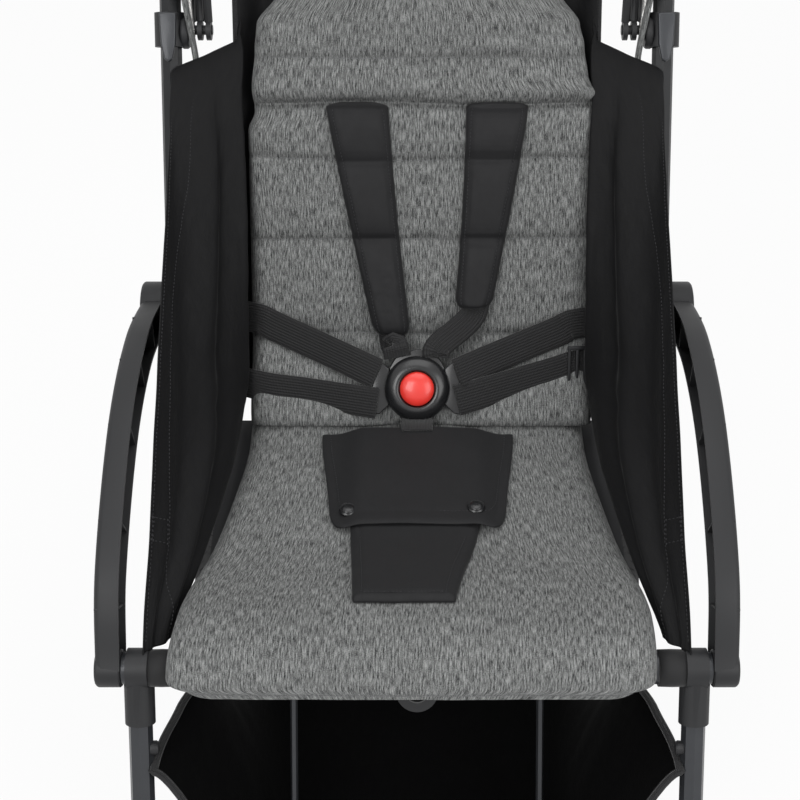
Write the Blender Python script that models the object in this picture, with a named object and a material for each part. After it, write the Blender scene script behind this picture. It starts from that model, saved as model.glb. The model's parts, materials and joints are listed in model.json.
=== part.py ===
"""Folding stroller: frame, wheels, quilted seat, harness, hood and basket, in metres, front towards -Y."""

import math

import bmesh
import bpy
from mathutils import Matrix, Vector

# Frame widths, each a distance across the stroller
OUTER_HALF = 0.235
ARM_WIDTH = 0.019
PLATE_WIDTH = 0.018
LAYER_GAP = 0.0006
FIT = 0.0003

# Frame tubes
TUBE_R = 0.009
BAR_R = 0.0118
BAR_Z = 0.445
HUB_BACK = 0.33
HUB_UP = 0.082
HUB_PLATE_R = 0.024
HUB_PIN_R = 0.005
HANDLE_LEAN = math.radians(31)
HANDLE_LEN = 0.56
HANDLE_CORNER_R = 0.055
GRIP_R = 0.0145
GRIP_LEN = 0.27
REAR_LEG_BACK = 0.105
LEG_REACH = 0.14
LEG_FOOT_Z = 0.2
ARM_DEPTH = 0.028
ARM_WALL = 0.0022
ARM_RIBS = 5

# Wheels
FRONT_WHEEL_R = 0.07
REAR_WHEEL_R = 0.075
WHEEL_WIDTH = 0.026
TYRE_DEPTH = 0.014
SPOKES = 6
WHEEL_SIDES = 22
AXLE_R = 0.004
TRAIL = 0.03
STEM_R = 0.006
FORK_WALL = 0.004

# Seat: each _IN is a distance in from the arms' outer faces
SEAT_DEPTH = 0.305
SEAT_DROP = 0.0145
BOARD_IN = 0.069
BOARD_THICK = 0.004
HINGE_ROD_R = 0.005
RECLINE_LEAN = math.radians(27)
BACK_FRAME_R = 0.005
BACK_FRAME_IN = 0.129
BACK_LEN = 0.47
BACK_PAD_LOW = 0.045
PAD_THICK = 0.022
SEAT_IN_FRONT = 0.058
SEAT_IN_REAR = 0.092
BACK_IN = 0.092
BACK_IN_TOP = 0.119
PANEL_IN_HEM = 0.043
PANEL_IN_SEAT = 0.0505
PANEL_IN_BACK = 0.0735
CHANNELS = (0.077, 0.159, 0.227, 0.272, 0.31)

# Harness
WEB_WIDTH = 0.0265
WEB_THICK = 0.0014
BUCKLE_R = 0.0275
BUCKLE_THICK = 0.016
BUTTON_R = 0.0145
CROTCH_END = 0.836
SHOULDER_WIDTHS = (0.033, 0.053)
SHOULDER_TOP = 0.272
SHOULDER_REST = 0.0031
SHOULDER_BEND = 0.008

# Hood
CLAMP_UP = 0.235
CLAMP_R = 0.0135
RIB_R = 0.0035
RIB_EYE_R = 0.0085
RIB_EYE_THICK = 0.004
RIB_PIN_R = 0.004
RIB_BELOW_GRIP = 0.075
RIB_CORNER_R = 0.14
RIB_ANGLES = (math.radians(50), math.radians(66), math.radians(82))
HOOD_THICK = 0.0015

# Folding braces and basket
BRACE_R = 0.0042
BRACE_EYE_THICK = 0.008
BRACE_KNEE_R = 0.0075
BRACE_PIN_R = 0.003
BRACE_HALF = 0.122
BRACE_SEAT_BACK = 0.145
BASKET_IN = 0.065
BASKET_FLOOR_Z = 0.212
BASKET_FRONT = -0.083
BASKET_FRONT_TOP = -0.045
BASKET_REAR = 0.215
BASKET_RIM_Z = 0.38
BASKET_REAR_Z = 0.236
BASKET_WALL = 0.002
HANGER_R = 0.003
HANGER_HALF = 0.1

# Places worked out from the sizes
LEAN_Y = math.sin(HANDLE_LEAN)
LEAN_Z = math.cos(HANDLE_LEAN)
FRONT_REACH = -LEG_REACH + TRAIL - FRONT_WHEEL_R
REAR_REACH = HUB_BACK + HANDLE_LEN * LEAN_Y + GRIP_R
BAR_Y = -(FRONT_REACH + REAR_REACH) / 2
ARM_X = OUTER_HALF - ARM_WIDTH / 2
HANDLE_X = OUTER_HALF - ARM_WIDTH - LAYER_GAP - PLATE_WIDTH / 2
REAR_X = HANDLE_X - PLATE_WIDTH - LAYER_GAP
LEG_X = OUTER_HALF - ARM_WIDTH - 0.0117
BOARD_HALF = OUTER_HALF - BOARD_IN
BACK_FRAME_HALF = OUTER_HALF - BACK_FRAME_IN
SEAT_HALF_FRONT = OUTER_HALF - SEAT_IN_FRONT
SEAT_HALF_REAR = OUTER_HALF - SEAT_IN_REAR
BACK_HALF = OUTER_HALF - BACK_IN
BACK_HALF_TOP = OUTER_HALF - BACK_IN_TOP
BASKET_HALF = OUTER_HALF - BASKET_IN
RIB_REACH = HANDLE_LEN - CLAMP_UP - RIB_BELOW_GRIP
BAR = Vector((0, BAR_Y, BAR_Z))
HUB = BAR + Vector((0, HUB_BACK, HUB_UP))
HANDLE_DIR = Vector((0, LEAN_Y, LEAN_Z))
AXLE = Vector((0, HUB.y + REAR_LEG_BACK, REAR_WHEEL_R))
FOOT = Vector((0, BAR_Y - LEG_REACH, LEG_FOOT_Z))
CASTER_HUB = Vector((0, FOOT.y + TRAIL, FRONT_WHEEL_R))
HINGE = BAR + Vector((0, SEAT_DEPTH, -SEAT_DROP))
BACK_DIR = Vector((0, math.sin(RECLINE_LEAN), math.cos(RECLINE_LEAN)))
BACK_OUT = Vector((0, -math.cos(RECLINE_LEAN), math.sin(RECLINE_LEAN)))
CLAMP = HUB + HANDLE_DIR * CLAMP_UP
BRACE_SEAT = BAR + Vector((0, BRACE_SEAT_BACK, -0.03))
BRACE_KNEE = (BRACE_SEAT + AXLE) / 2
BUCKLE = HINGE + BACK_DIR * 0.036 + BACK_OUT * 0.06
BUCKLE_OUT = Vector((0, -math.cos(math.radians(36)), math.sin(math.radians(36))))
BUCKLE_UP = Vector((0, math.sin(math.radians(36)), math.cos(math.radians(36))))
X_AXIS = Vector((1, 0, 0))
Z_AXIS = Vector((0, 0, 1))
SIDES = (("left", -1), ("right", 1))

FINISHES = {
    "frame": ((0.045, 0.047, 0.052), 0.38, 0.6),
    "plastic": ((0.02, 0.02, 0.022), 0.45, 0.0),
    "steel": ((0.5, 0.5, 0.52), 0.3, 1.0),
    "grip_foam": ((0.015, 0.015, 0.016), 0.85, 0.0),
    "tyre": ((0.018, 0.018, 0.018), 0.8, 0.0),
    "melange": ((0.17, 0.175, 0.18), 0.9, 0.0),
    "black_fabric": ((0.012, 0.012, 0.013), 0.85, 0.0),
    "webbing": ((0.014, 0.014, 0.015), 0.75, 0.0),
    "red_plastic": ((0.72, 0.04, 0.035), 0.3, 0.0),
}


def clear_scene():
    for old in list(bpy.data.objects):
        bpy.data.objects.remove(old, do_unlink=True)


def new_collection(name, hidden=False):
    collection = bpy.data.collections.new(name)
    collection.hide_render = hidden
    bpy.context.scene.collection.children.link(collection)
    return collection


def make_finish(name):
    colour, roughness, metallic = FINISHES[name]
    material = bpy.data.materials.new(name)
    material.use_nodes = True
    shader = material.node_tree.nodes["Principled BSDF"]
    shader.inputs["Base Color"].default_value = (*colour, 1)
    shader.inputs["Roughness"].default_value = roughness
    shader.inputs["Metallic"].default_value = metallic
    return material


def mesh_object(name, bm, finish, smooth_angle=40):
    bmesh.ops.recalc_face_normals(bm, faces=bm.faces)
    if bm.calc_volume(signed=True) < 0:
        bmesh.ops.reverse_faces(bm, faces=bm.faces)
    mesh = bpy.data.meshes.new(name)
    bm.to_mesh(mesh)
    bm.free()
    mesh.materials.append(MATERIALS[finish])
    mesh.shade_smooth()
    mesh.set_sharp_from_angle(angle=math.radians(smooth_angle))
    obj = bpy.data.objects.new(name, mesh)
    PARTS.objects.link(obj)
    return obj


def slab(name, across, along, place, finish):
    """A closed sheet: place(u, v, w) gives each point, with w 0 on one face and 1 on the other."""
    bm = bmesh.new()
    bmesh.ops.create_grid(bm, x_segments=across, y_segments=along, size=0.5)
    raised = bmesh.ops.extrude_face_region(bm, geom=list(bm.faces))["geom"]
    for item in raised:
        if isinstance(item, bmesh.types.BMVert):
            item.co.z = 1
    for vert in bm.verts:
        vert.co = place(vert.co.x + 0.5, vert.co.y + 0.5, vert.co.z)
    return mesh_object(name, bm, finish)


def tube(name, points, radius, finish, resolution=2):
    """A round tube through the points, as a bevelled curve turned into a welded mesh."""
    curve = bpy.data.curves.new(name, "CURVE")
    curve.dimensions = "3D"
    curve.bevel_depth = radius
    curve.bevel_resolution = resolution
    curve.use_fill_caps = True
    spline = curve.splines.new("POLY")
    spline.points.add(len(points) - 1)
    for point, place in zip(spline.points, points):
        point.co = (*place, 1)
    guide = bpy.data.objects.new(name + "_line", curve)
    PARTS.objects.link(guide)
    bpy.context.view_layer.update()
    graph = bpy.context.evaluated_depsgraph_get()
    mesh = bpy.data.meshes.new_from_object(guide.evaluated_get(graph))
    bpy.data.objects.remove(guide, do_unlink=True)
    bm = bmesh.new()
    bm.from_mesh(mesh)
    bmesh.ops.remove_doubles(bm, verts=bm.verts, dist=1e-5)
    return mesh_object(name, bm, finish)


def turned(name, profile, origin, axis, finish, steps=24):
    """A turned piece: profile is (radius, height) points of one closed loop round the axis."""
    bm = bmesh.new()
    turn = axis.to_track_quat("Z", "Y").to_matrix()
    verts = [bm.verts.new((radius, 0, height)) for radius, height in profile]
    edges = [bm.edges.new((verts[i], verts[(i + 1) % len(verts)])) for i in range(len(verts))]
    bmesh.ops.spin(
        bm, geom=verts + edges, axis=(0, 0, 1), cent=(0, 0, 0), angle=2 * math.pi, steps=steps,
        use_merge=True,
    )
    bmesh.ops.remove_doubles(bm, verts=bm.verts, dist=1e-6)
    for vert in bm.verts:
        vert.co = turn @ vert.co + origin
    return mesh_object(name, bm, finish)


def rod(name, start, end, radius, finish, sides=16):
    """A plain round bar between two points."""
    bm = bmesh.new()
    length = (end - start).length
    bmesh.ops.create_cone(bm, cap_ends=True, segments=sides, radius1=radius, radius2=radius, depth=length)
    turn = (end - start).to_track_quat("Z", "Y").to_matrix()
    for vert in bm.verts:
        vert.co = turn @ vert.co + (start + end) / 2
    return mesh_object(name, bm, finish)


def box(name, low, high, finish):
    bm = bmesh.new()
    bmesh.ops.create_cube(bm, size=1)
    low, high = Vector(low), Vector(high)
    for vert in bm.verts:
        vert.co = Vector(a + (b - a) * (c + 0.5) for a, b, c in zip(low, high, vert.co))
    return mesh_object(name, bm, finish)


def combine(target, helper, operation):
    """A Boolean with a helper that is hidden with the cutters."""
    PARTS.objects.unlink(helper)
    CUTTERS.objects.link(helper)
    helper.hide_render = True
    helper.display_type = "WIRE"
    change = target.modifiers.new(helper.name, "BOOLEAN")
    change.operation = operation
    change.solver = "EXACT"
    change.object = helper
    return target


def join(target, *helpers):
    for helper in helpers:
        combine(target, helper, "UNION")
    return target


def cut(target, *helpers):
    for helper in helpers:
        combine(target, helper, "DIFFERENCE")
    return target


def at_x(point, x):
    return Vector((x, point.y, point.z))


def ring_profile(inner, outer, half):
    return [(outer, half), (outer, -half), (inner, -half), (inner, half)]


def smooth_step(value):
    value = min(1, max(0, value))
    return value * value * (3 - 2 * value)


def mix(a, b, share):
    return a + (b - a) * share


def along_points(points, share):
    """A point on the smooth line through a short list of points, and its direction."""
    last = len(points) - 1
    place = min(last - 1e-6, max(0, share * last))
    index = int(place)
    t = place - index
    p1, p2 = Vector(points[index]), Vector(points[index + 1])
    p0 = Vector(points[index - 1]) if index else 2 * p1 - p2
    p3 = Vector(points[index + 2]) if index + 2 <= last else 2 * p2 - p1
    spot = 0.5 * (2 * p1 + (p2 - p0) * t + (2 * p0 - 5 * p1 + 4 * p2 - p3) * t**2
                  + (3 * p1 - p0 - 3 * p2 + p3) * t**3)
    way = 0.5 * ((p2 - p0) + 2 * (2 * p0 - 5 * p1 + 4 * p2 - p3) * t
                 + 3 * (3 * p1 - p0 - 3 * p2 + p3) * t**2)
    return spot, way.normalized()


def rounded_path(corners, radius, steps=5):
    """The corners joined by straight runs, with each inner corner rounded by an arc."""
    path = [corners[0]]
    for before, corner, after in zip(corners, corners[1:], corners[2:]):
        back = (before - corner).normalized()
        ahead = (after - corner).normalized()
        half = back.angle(ahead) / 2
        reach = radius / math.tan(half)
        centre = corner + (back + ahead).normalized() * radius / math.sin(half)
        start, end = corner + back * reach, corner + ahead * reach
        first, final = (start - centre).normalized(), (end - centre).normalized()
        for step in range(steps + 1):
            path.append(centre + first.slerp(final, step / steps) * radius)
    path.append(corners[-1])
    return path


# Frame


def make_handle():
    top = HUB + HANDLE_DIR * HANDLE_LEN
    corners = [at_x(HUB, -HANDLE_X), at_x(top, -HANDLE_X), at_x(top, HANDLE_X), at_x(HUB, HANDLE_X)]
    handle = tube("handle_tube", rounded_path(corners, HANDLE_CORNER_R), TUBE_R, "frame")
    for side, sign in SIDES:
        middle = at_x(HUB, sign * HANDLE_X)
        half = X_AXIS * PLATE_WIDTH / 2
        plate = rod(f"handle_plate_{side}", middle - half, middle + half, HUB_PLATE_R, "frame", 22)
        join(handle, plate)
        bore = rod(f"handle_bore_{side}", middle - 2 * half, middle + 2 * half, HUB_PIN_R + FIT, "frame", 20)
        cut(handle, bore)
    inner = TUBE_R + FIT
    profile = [(GRIP_R, -GRIP_LEN / 2 + 0.004), (GRIP_R - 0.003, -GRIP_LEN / 2), (inner, -GRIP_LEN / 2),
               (inner, GRIP_LEN / 2), (GRIP_R - 0.003, GRIP_LEN / 2), (GRIP_R, GRIP_LEN / 2 - 0.004)]
    grip = turned("handle_grip", profile, top, X_AXIS, "grip_foam", 20)
    return [handle, grip]


def make_rear_legs():
    pieces = []
    boss_half = 0.015
    for side, sign in SIDES:
        top, low = at_x(HUB, sign * REAR_X), at_x(AXLE, sign * REAR_X)
        leg = tube(f"rear_leg_{side}", [top, low], TUBE_R, "frame")
        half = X_AXIS * PLATE_WIDTH / 2
        join(leg, rod(f"rear_plate_{side}", top - half, top + half, HUB_PLATE_R, "frame", 22))
        pin_end = at_x(HUB, sign * (OUTER_HALF - 0.002))
        join(leg, rod(f"hub_pin_{side}", top, pin_end, HUB_PIN_R, "steel", 20))
        inner = at_x(AXLE, sign * (REAR_X - PLATE_WIDTH / 2))
        outer = at_x(AXLE, sign * (OUTER_HALF - WHEEL_WIDTH - 0.001))
        join(leg, rod(f"axle_boss_{side}", inner, outer, boss_half, "plastic", 28))
        through = X_AXIS * 0.03
        cut(leg, rod(f"axle_bore_{side}", low - through, low + through, AXLE_R + FIT, "plastic", 16))
        pieces.append(leg)
    cross_half = REAR_X - PLATE_WIDTH / 2 - FIT
    profile = ring_profile(AXLE_R + FIT, TUBE_R, cross_half)
    pieces.append(turned("rear_cross_tube", profile, AXLE, X_AXIS, "frame", 20))
    end = X_AXIS * (OUTER_HALF - 0.001)
    pieces.append(rod("rear_axle_rod", AXLE - end, AXLE + end, AXLE_R, "steel", 16))
    return pieces


def make_bar():
    end = X_AXIS * (OUTER_HALF - ARM_WIDTH - FIT)
    return rod("seat_bar", BAR - end, BAR + end, BAR_R, "frame", 24)


def arm_line(share):
    """The arm's middle line in the side view, from the seat bar up to the hub."""
    line = [BAR, BAR + Vector((0, 0.045, 0.055)), BAR + Vector((0, 0.145, 0.101)),
            BAR + Vector((0, 0.24, 0.108)), HUB]
    return along_points(line, share)


ARM_SECTION = ((0, 1), (0.72, 1), (0.93, 0.84), (1, 0.55), (1, -0.55), (0.93, -0.84), (0.72, -1), (0, -1))


def make_arm(side, sign):
    inner_x = OUTER_HALF - ARM_WIDTH

    def place(u, v, w):
        spot, way = arm_line(v)
        reach, rise = ARM_SECTION[round(u * (len(ARM_SECTION) - 1))]
        wall = ARM_WALL * w
        x = inner_x + reach * (ARM_WIDTH - wall)
        swell = 1 + 0.12 * math.sin(math.pi * v)
        lift = rise * (ARM_DEPTH / 2 * swell - wall)
        return spot + way.cross(X_AXIS) * -lift + X_AXIS * (sign * x)

    arm = slab(f"side_arm_{side}", len(ARM_SECTION) - 1, 13, place, "plastic")
    for number in range(ARM_RIBS):
        spot, way = arm_line((number + 1) / (ARM_RIBS + 1))
        turn = way.to_track_quat("Y", "Z").to_matrix().to_4x4()
        rib = box(f"arm_rib_{side}_{number}", (-ARM_WIDTH / 2 + 0.001, -0.0009, -ARM_DEPTH / 2 + 0.001),
                  (ARM_WIDTH / 2 - 0.001, 0.0009, ARM_DEPTH / 2 - 0.001), "plastic")
        rib.data.transform(Matrix.Translation(at_x(spot, sign * ARM_X)) @ turn)
        join(arm, rib)
    half = X_AXIS * ARM_WIDTH / 2
    low, high = at_x(BAR, sign * ARM_X), at_x(HUB, sign * ARM_X)
    join(arm, rod(f"arm_boss_{side}", low - half, low + half, BAR_R + 0.0022, "plastic", 20))
    join(arm, rod(f"arm_plate_{side}", high - half, high + half, HUB_PLATE_R, "plastic", 22))
    cut(arm, rod(f"arm_bore_{side}", high - 2 * half, high + 2 * half, HUB_PIN_R + FIT, "plastic", 20))
    return arm


def make_front_leg(side, sign):
    down = (FOOT - BAR).normalized()
    top = at_x(BAR + down * (BAR_R + 0.006), sign * LEG_X)
    foot = at_x(FOOT, sign * LEG_X)
    leg = tube(f"front_leg_{side}", [top, foot], TUBE_R, "frame")
    head_low, head_high = foot - Z_AXIS * 0.022, foot + Z_AXIS * 0.018
    join(leg, rod(f"caster_head_{side}", head_low, head_high, 0.0135, "plastic", 24))
    bore_top = foot + Z_AXIS * 0.009
    cut(leg, rod(f"caster_bore_{side}", head_low - Z_AXIS * 0.01, bore_top, STEM_R + FIT, "plastic", 16))
    return leg


def make_connector(side, sign):
    """The moulded tee that clamps the seat bar and holds the front leg."""
    down = (FOOT - BAR).normalized()
    middle = at_x(BAR, sign * LEG_X)
    half = X_AXIS * 0.008
    tee = rod(f"leg_connector_{side}", middle - half, middle + half, BAR_R + 0.003, "plastic", 28)
    socket_end = middle + down * 0.042
    join(tee, rod(f"leg_socket_{side}", middle + down * 0.002, socket_end, TUBE_R + 0.0022, "plastic", 24))
    cut(tee, rod(f"bar_bore_{side}", middle - 2 * half, middle + 2 * half, BAR_R + FIT, "plastic", 24))
    leg_top = middle + down * (BAR_R + 0.0055)
    cut(tee, rod(f"leg_bore_{side}", leg_top, socket_end + down * 0.01, TUBE_R + FIT, "plastic", 24))
    return tee


# Wheels


def make_fork(side, sign):
    foot = at_x(FOOT, sign * LEG_X)
    crown_top = foot.z - 0.0225
    wheel_top = 2 * FRONT_WHEEL_R + 0.005
    inner = WHEEL_WIDTH / 2 + 0.0015
    outer = inner + FORK_WALL
    fork = box(f"caster_fork_{side}", (foot.x - outer, foot.y - 0.015, wheel_top),
               (foot.x + outer, foot.y + 0.026, crown_top), "plastic")
    stem = rod(f"caster_stem_{side}", Vector((foot.x, foot.y, crown_top - 0.004)), foot + Z_AXIS * 0.007,
               STEM_R, "steel", 16)
    join(fork, stem)
    hub = at_x(CASTER_HUB, foot.x)
    for name, near, far in (("a", -outer, -inner), ("b", inner, outer)):
        def place(u, v, w, near=near, far=far):
            top = Vector((0, foot.y + mix(-0.015, 0.026, u), wheel_top + 0.008))
            low = Vector((0, hub.y + mix(-0.011, 0.011, u), hub.z - 0.006))
            return at_x(top.lerp(low, v), foot.x + mix(near, far, w))
        prong = slab(f"fork_prong_{side}_{name}", 2, 3, place, "plastic")
        end = rod(f"fork_end_{side}_{name}", at_x(hub, foot.x + near), at_x(hub, foot.x + far), 0.0125,
                  "plastic", 24)
        join(fork, prong, end)
    reach = X_AXIS * (outer + 0.0012)
    join(fork, rod(f"caster_axle_{side}", hub - reach, hub + reach, AXLE_R, "steel", 16))
    return fork


def make_wheel(name, centre, radius):
    """A tyre with a rounded tread and a spoked rim with a bore for its axle."""
    half = WHEEL_WIDTH / 2
    seat = radius - TYRE_DEPTH
    tread = []
    for step in range(7):
        angle = math.pi * step / 6
        tread.append((seat + TYRE_DEPTH * math.sin(angle) ** 0.6 if 0 < step < 6 else seat + 0.003,
                      half * math.cos(angle)))
    tyre = turned(f"{name}_tyre", tread + [(seat, -half + 0.003), (seat, half - 0.003)], centre, X_AXIS,
                  "tyre", WHEEL_SIDES)
    rim_r = seat - FIT
    section = ring_profile(rim_r - 0.006, rim_r, half - 0.004)
    rim = turned(f"{name}_rim", section, centre, X_AXIS, "plastic", WHEEL_SIDES)
    hub = rod(f"{name}_hub", centre - X_AXIS * half, centre + X_AXIS * half, 0.011, "plastic", 14)
    join(rim, hub)
    for number in range(SPOKES):
        angle = 2 * math.pi * number / SPOKES
        out = Vector((0, math.cos(angle), math.sin(angle)))
        side = X_AXIS.cross(out)

        def place(u, v, w, out=out, side=side):
            width = mix(0.0078, 0.0075, v)
            thick = mix(0.014, 0.008, v)
            return (centre + out * mix(0.0085, rim_r - 0.0027, v) + side * width * (u - 0.5)
                    + X_AXIS * thick * (w - 0.5))
        join(rim, slab(f"{name}_spoke_{number}", 1, 2, place, "plastic"))
    through = X_AXIS * WHEEL_WIDTH
    cut(rim, rod(f"{name}_bore", centre - through, centre + through, AXLE_R + FIT, "plastic", 16))
    return tyre, rim


def make_brake():
    """The pedal that turns on the rear cross tube."""
    middle = AXLE + X_AXIS * 0.07
    ring = turned("brake_pedal", ring_profile(TUBE_R + FIT, 0.0135, 0.02), middle, X_AXIS, "plastic", 24)

    def place(u, v, w):
        width = mix(0.038, 0.05, smooth_step(v))
        back = mix(0.0115, 0.062, v)
        rise = 0.004 - 0.006 * v + 0.004 * math.sin(math.pi * v) + 0.004 * (w - 0.5)
        return middle + Vector((width * (u - 0.5), back, rise))
    return join(ring, slab("brake_plate", 4, 6, place, "plastic"))


# Seat


def seat_line(share):
    """The seat cushion's underside in the side view, from its front lip back to the hinge."""
    drop = BAR_R + FIT
    line = [(0, -drop - 0.0015, -0.008), (0, -drop - 0.001, 0.004), (0, -0.006, drop + 0.0005),
            (0, 0.014, drop + 0.0005), (0, 0.05, 0.003), (0, SEAT_DEPTH - 0.195, -0.0108),
            (0, SEAT_DEPTH - 0.115, -0.012), (0, SEAT_DEPTH - 0.05, -0.012), (0, SEAT_DEPTH - 0.02, -0.012)]
    spot, way = along_points(line, share)
    return BAR + spot, way


def seat_half(share):
    return mix(SEAT_HALF_FRONT, SEAT_HALF_REAR, smooth_step((share - 0.4) / 0.45))


def edge_fade(u, reach=0.12):
    """1 in the middle of a cushion and 0 at its sides, on a round curve."""
    near = min(u, 1 - u) / reach
    return math.sqrt(max(0, 1 - (1 - min(1, near)) ** 2))


def spread(u):
    """Cushion columns stand closer together near the sides."""
    return 0.5 - 0.5 * math.cos(math.pi * u) if 0 < u < 1 else u


def seat_point(u, v, lift):
    spot, way = seat_line(v)
    normal = X_AXIS.cross(way)
    corner = 0.02 * (1 - smooth_step(v / 0.08)) if v < 0.08 else 0
    return spot + normal * lift + X_AXIS * (2 * u - 1) * (seat_half(v) - corner)


def make_seat_pad():
    def place(u, v, w):
        wide = mix(u, spread(u), 0.6)
        ends = min(1, min(v, 1 - v) / 0.05)
        fade = edge_fade(wide) * math.sqrt(max(0, 1 - (1 - ends) ** 2))
        crown = 0.1 * math.sin(math.pi * v) * math.sin(math.pi * u)
        thick = PAD_THICK * (0.3 + 0.7 * fade + crown)
        under = PAD_THICK * 0.25 * (1 - fade)
        return seat_point(wide, v, FIT + (under + (thick - under) * w if w else under))
    return slab("seat_pad", 14, 20, place, "melange")


def back_point(x, along, out):
    return HINGE + BACK_DIR * along + BACK_OUT * out + X_AXIS * x


def back_half(along):
    return mix(BACK_HALF, BACK_HALF_TOP, smooth_step((along - 0.29) / 0.075))


PAD_REST = BACK_FRAME_R + FIT


def channel_rows(start, end, rows):
    """Heights up the backrest, closer together beside each sewn channel, and how puffed each one is."""
    seams = [start, *CHANNELS, end]
    places = [(start, 0)]
    for low, high in zip(seams, seams[1:]):
        for row in range(1, rows + 1):
            share = 0.5 - 0.5 * math.cos(math.pi * row / rows)
            puff = math.sin(math.pi * row / rows) ** 0.6 if row < rows else 0
            places.append((mix(low, high, share), puff))
    return places


def back_face(x, along):
    """How far the backrest cushion's face stands out at a place on it."""
    seams = [BACK_PAD_LOW, *CHANNELS, BACK_LEN]
    low = max(seam for seam in seams[:-1] if seam <= along)
    high = min(seam for seam in seams if seam > along)
    share = (along - low) / (high - low)
    puff = (2 * math.sqrt(share * (1 - share))) ** 0.6
    u = 0.5 + x / (2 * BACK_HALF)
    full = PAD_THICK * mix(0.66, 1, puff) + 0.003 * math.sin(math.pi * u)
    return PAD_REST + mix(PAD_THICK * 0.3, full, edge_fade(u))


def make_back_pad():
    start, end = BACK_PAD_LOW, BACK_LEN
    rows = channel_rows(start, end, 5)

    def place(u, v, w):
        wide = mix(u, spread(u), 0.6)
        along, puff = rows[round(v * (len(rows) - 1))]
        ends = min(1, min(along - start, end - along) / 0.016)
        fade = edge_fade(wide) * math.sqrt(max(0, 1 - (1 - ends) ** 2))
        full = PAD_THICK * mix(0.66, 1, puff) + 0.003 * math.sin(math.pi * u)
        under = PAD_THICK * 0.22 * (1 - fade)
        thick = max(mix(PAD_THICK * 0.3, full, fade), under + 0.002)
        return back_point((2 * wide - 1) * back_half(along), along, PAD_REST + mix(under, thick, w))
    return slab("back_pad", 12, len(rows) - 1, place, "melange")


def make_board():
    """The stiff seat panel, with the rod that the backrest turns on and lugs for the braces."""
    front = BAR_Y + BAR_R + FIT
    rear = HINGE.y - 0.012
    top = HINGE.z + BOARD_THICK / 2
    board = box("seat_panel", (-BOARD_HALF, front, top - BOARD_THICK), (BOARD_HALF, rear, top), "plastic")
    end = X_AXIS * (BACK_FRAME_HALF + 0.014)
    join(board, rod("hinge_rod", HINGE - end, HINGE + end, HINGE_ROD_R, "steel", 16))
    for number, x in enumerate((-0.08, 0, 0.08)):
        join(board, box(f"rod_lug_{number}", (x - 0.012, rear - 0.01, HINGE.z - 0.0036),
                        (x + 0.012, HINGE.y + 0.001, HINGE.z + 0.0036), "plastic"))
    for side, sign in SIDES:
        x = sign * (BRACE_HALF + 0.0125)
        join(board, box(f"brace_lug_{side}", (x - 0.004, BRACE_SEAT.y - 0.008, BRACE_SEAT.z - 0.008),
                        (x + 0.004, BRACE_SEAT.y + 0.008, top - BOARD_THICK / 2), "plastic"))
        pin = X_AXIS * sign * 0.0085
        start = at_x(BRACE_SEAT, x)
        join(board, rod(f"brace_pin_{side}", start, start - pin, BRACE_PIN_R, "steel", 12))
    return board


def make_back_frame():
    top = BACK_LEN - 0.015
    corners = [back_point(-BACK_FRAME_HALF, 0.009, 0), back_point(-BACK_FRAME_HALF, top, 0),
               back_point(BACK_FRAME_HALF, top, 0), back_point(BACK_FRAME_HALF, 0.009, 0)]
    frame = tube("back_frame", rounded_path(corners, 0.05), BACK_FRAME_R, "frame")
    for side, sign in SIDES:
        eye = at_x(HINGE, sign * BACK_FRAME_HALF)
        join(frame, rod(f"back_eye_{side}", eye - X_AXIS * 0.005, eye + X_AXIS * 0.005, 0.0105, "frame", 20))
        cut(frame, rod(f"back_eye_bore_{side}", eye - X_AXIS * 0.01, eye + X_AXIS * 0.01, HINGE_ROD_R + FIT,
                       "frame", 16))
    return frame


def make_side_panel(side, sign):
    """Black cloth from the straight front hem down to the seat and the backrest, with its main folds."""
    hem_low = BAR + Vector((0, 0, BAR_R + WEB_THICK + 2.5 * FIT))
    hem_high = CLAMP - HANDLE_DIR * 0.03 + Vector((0, -0.012, 0))

    def place(u, v, w):
        hem = hem_low.lerp(hem_high, v)
        corner = HINGE + Vector((0, -0.005, 0.012))
        if v < 0.5:
            inner = (BAR + Vector((0, 0.03, 0.006))).lerp(corner, smooth_step(v * 2))
        else:
            inner = corner.lerp(back_point(0, 0.34, 0.0), smooth_step(v * 2 - 1))
        spot = hem.lerp(inner, u)
        inset = mix(PANEL_IN_HEM, mix(PANEL_IN_SEAT, PANEL_IN_BACK, smooth_step(v * 2.4)), smooth_step(u * 1.7))
        folds = 0.0035 * math.sin(u * 11 + v * 3) * math.sin(math.pi * u) * math.sin(math.pi * v)
        return at_x(spot, sign * (OUTER_HALF - inset + min(0, folds) - 0.0012 * w))
    return slab(f"side_panel_{side}", 8, 10, place, "black_fabric")


def make_bar_loop(side, sign):
    """The webbing loop that ties a side panel to the seat bar."""
    middle = at_x(BAR, sign * (SEAT_HALF_FRONT + 0.007))
    profile = ring_profile(BAR_R + FIT, BAR_R + FIT + WEB_THICK, 0.0055)
    return turned(f"bar_loop_{side}", profile, middle, X_AXIS, "webbing", 24)


# Harness


def strap(name, points, normals, width, across=None, rows=10):
    """A flat strap through the points, lying square to the normals, or with its width along across."""
    def place(u, v, w):
        spot, way = along_points(points, v)
        out, _ = along_points([tuple(10 * part for part in n) for n in normals], v)
        out = out.normalized()
        side = across or way.cross(out).normalized()
        return spot + side * width * (u - 0.5) + out * WEB_THICK * w
    return slab(name, 1, rows, place, "webbing")


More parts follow.
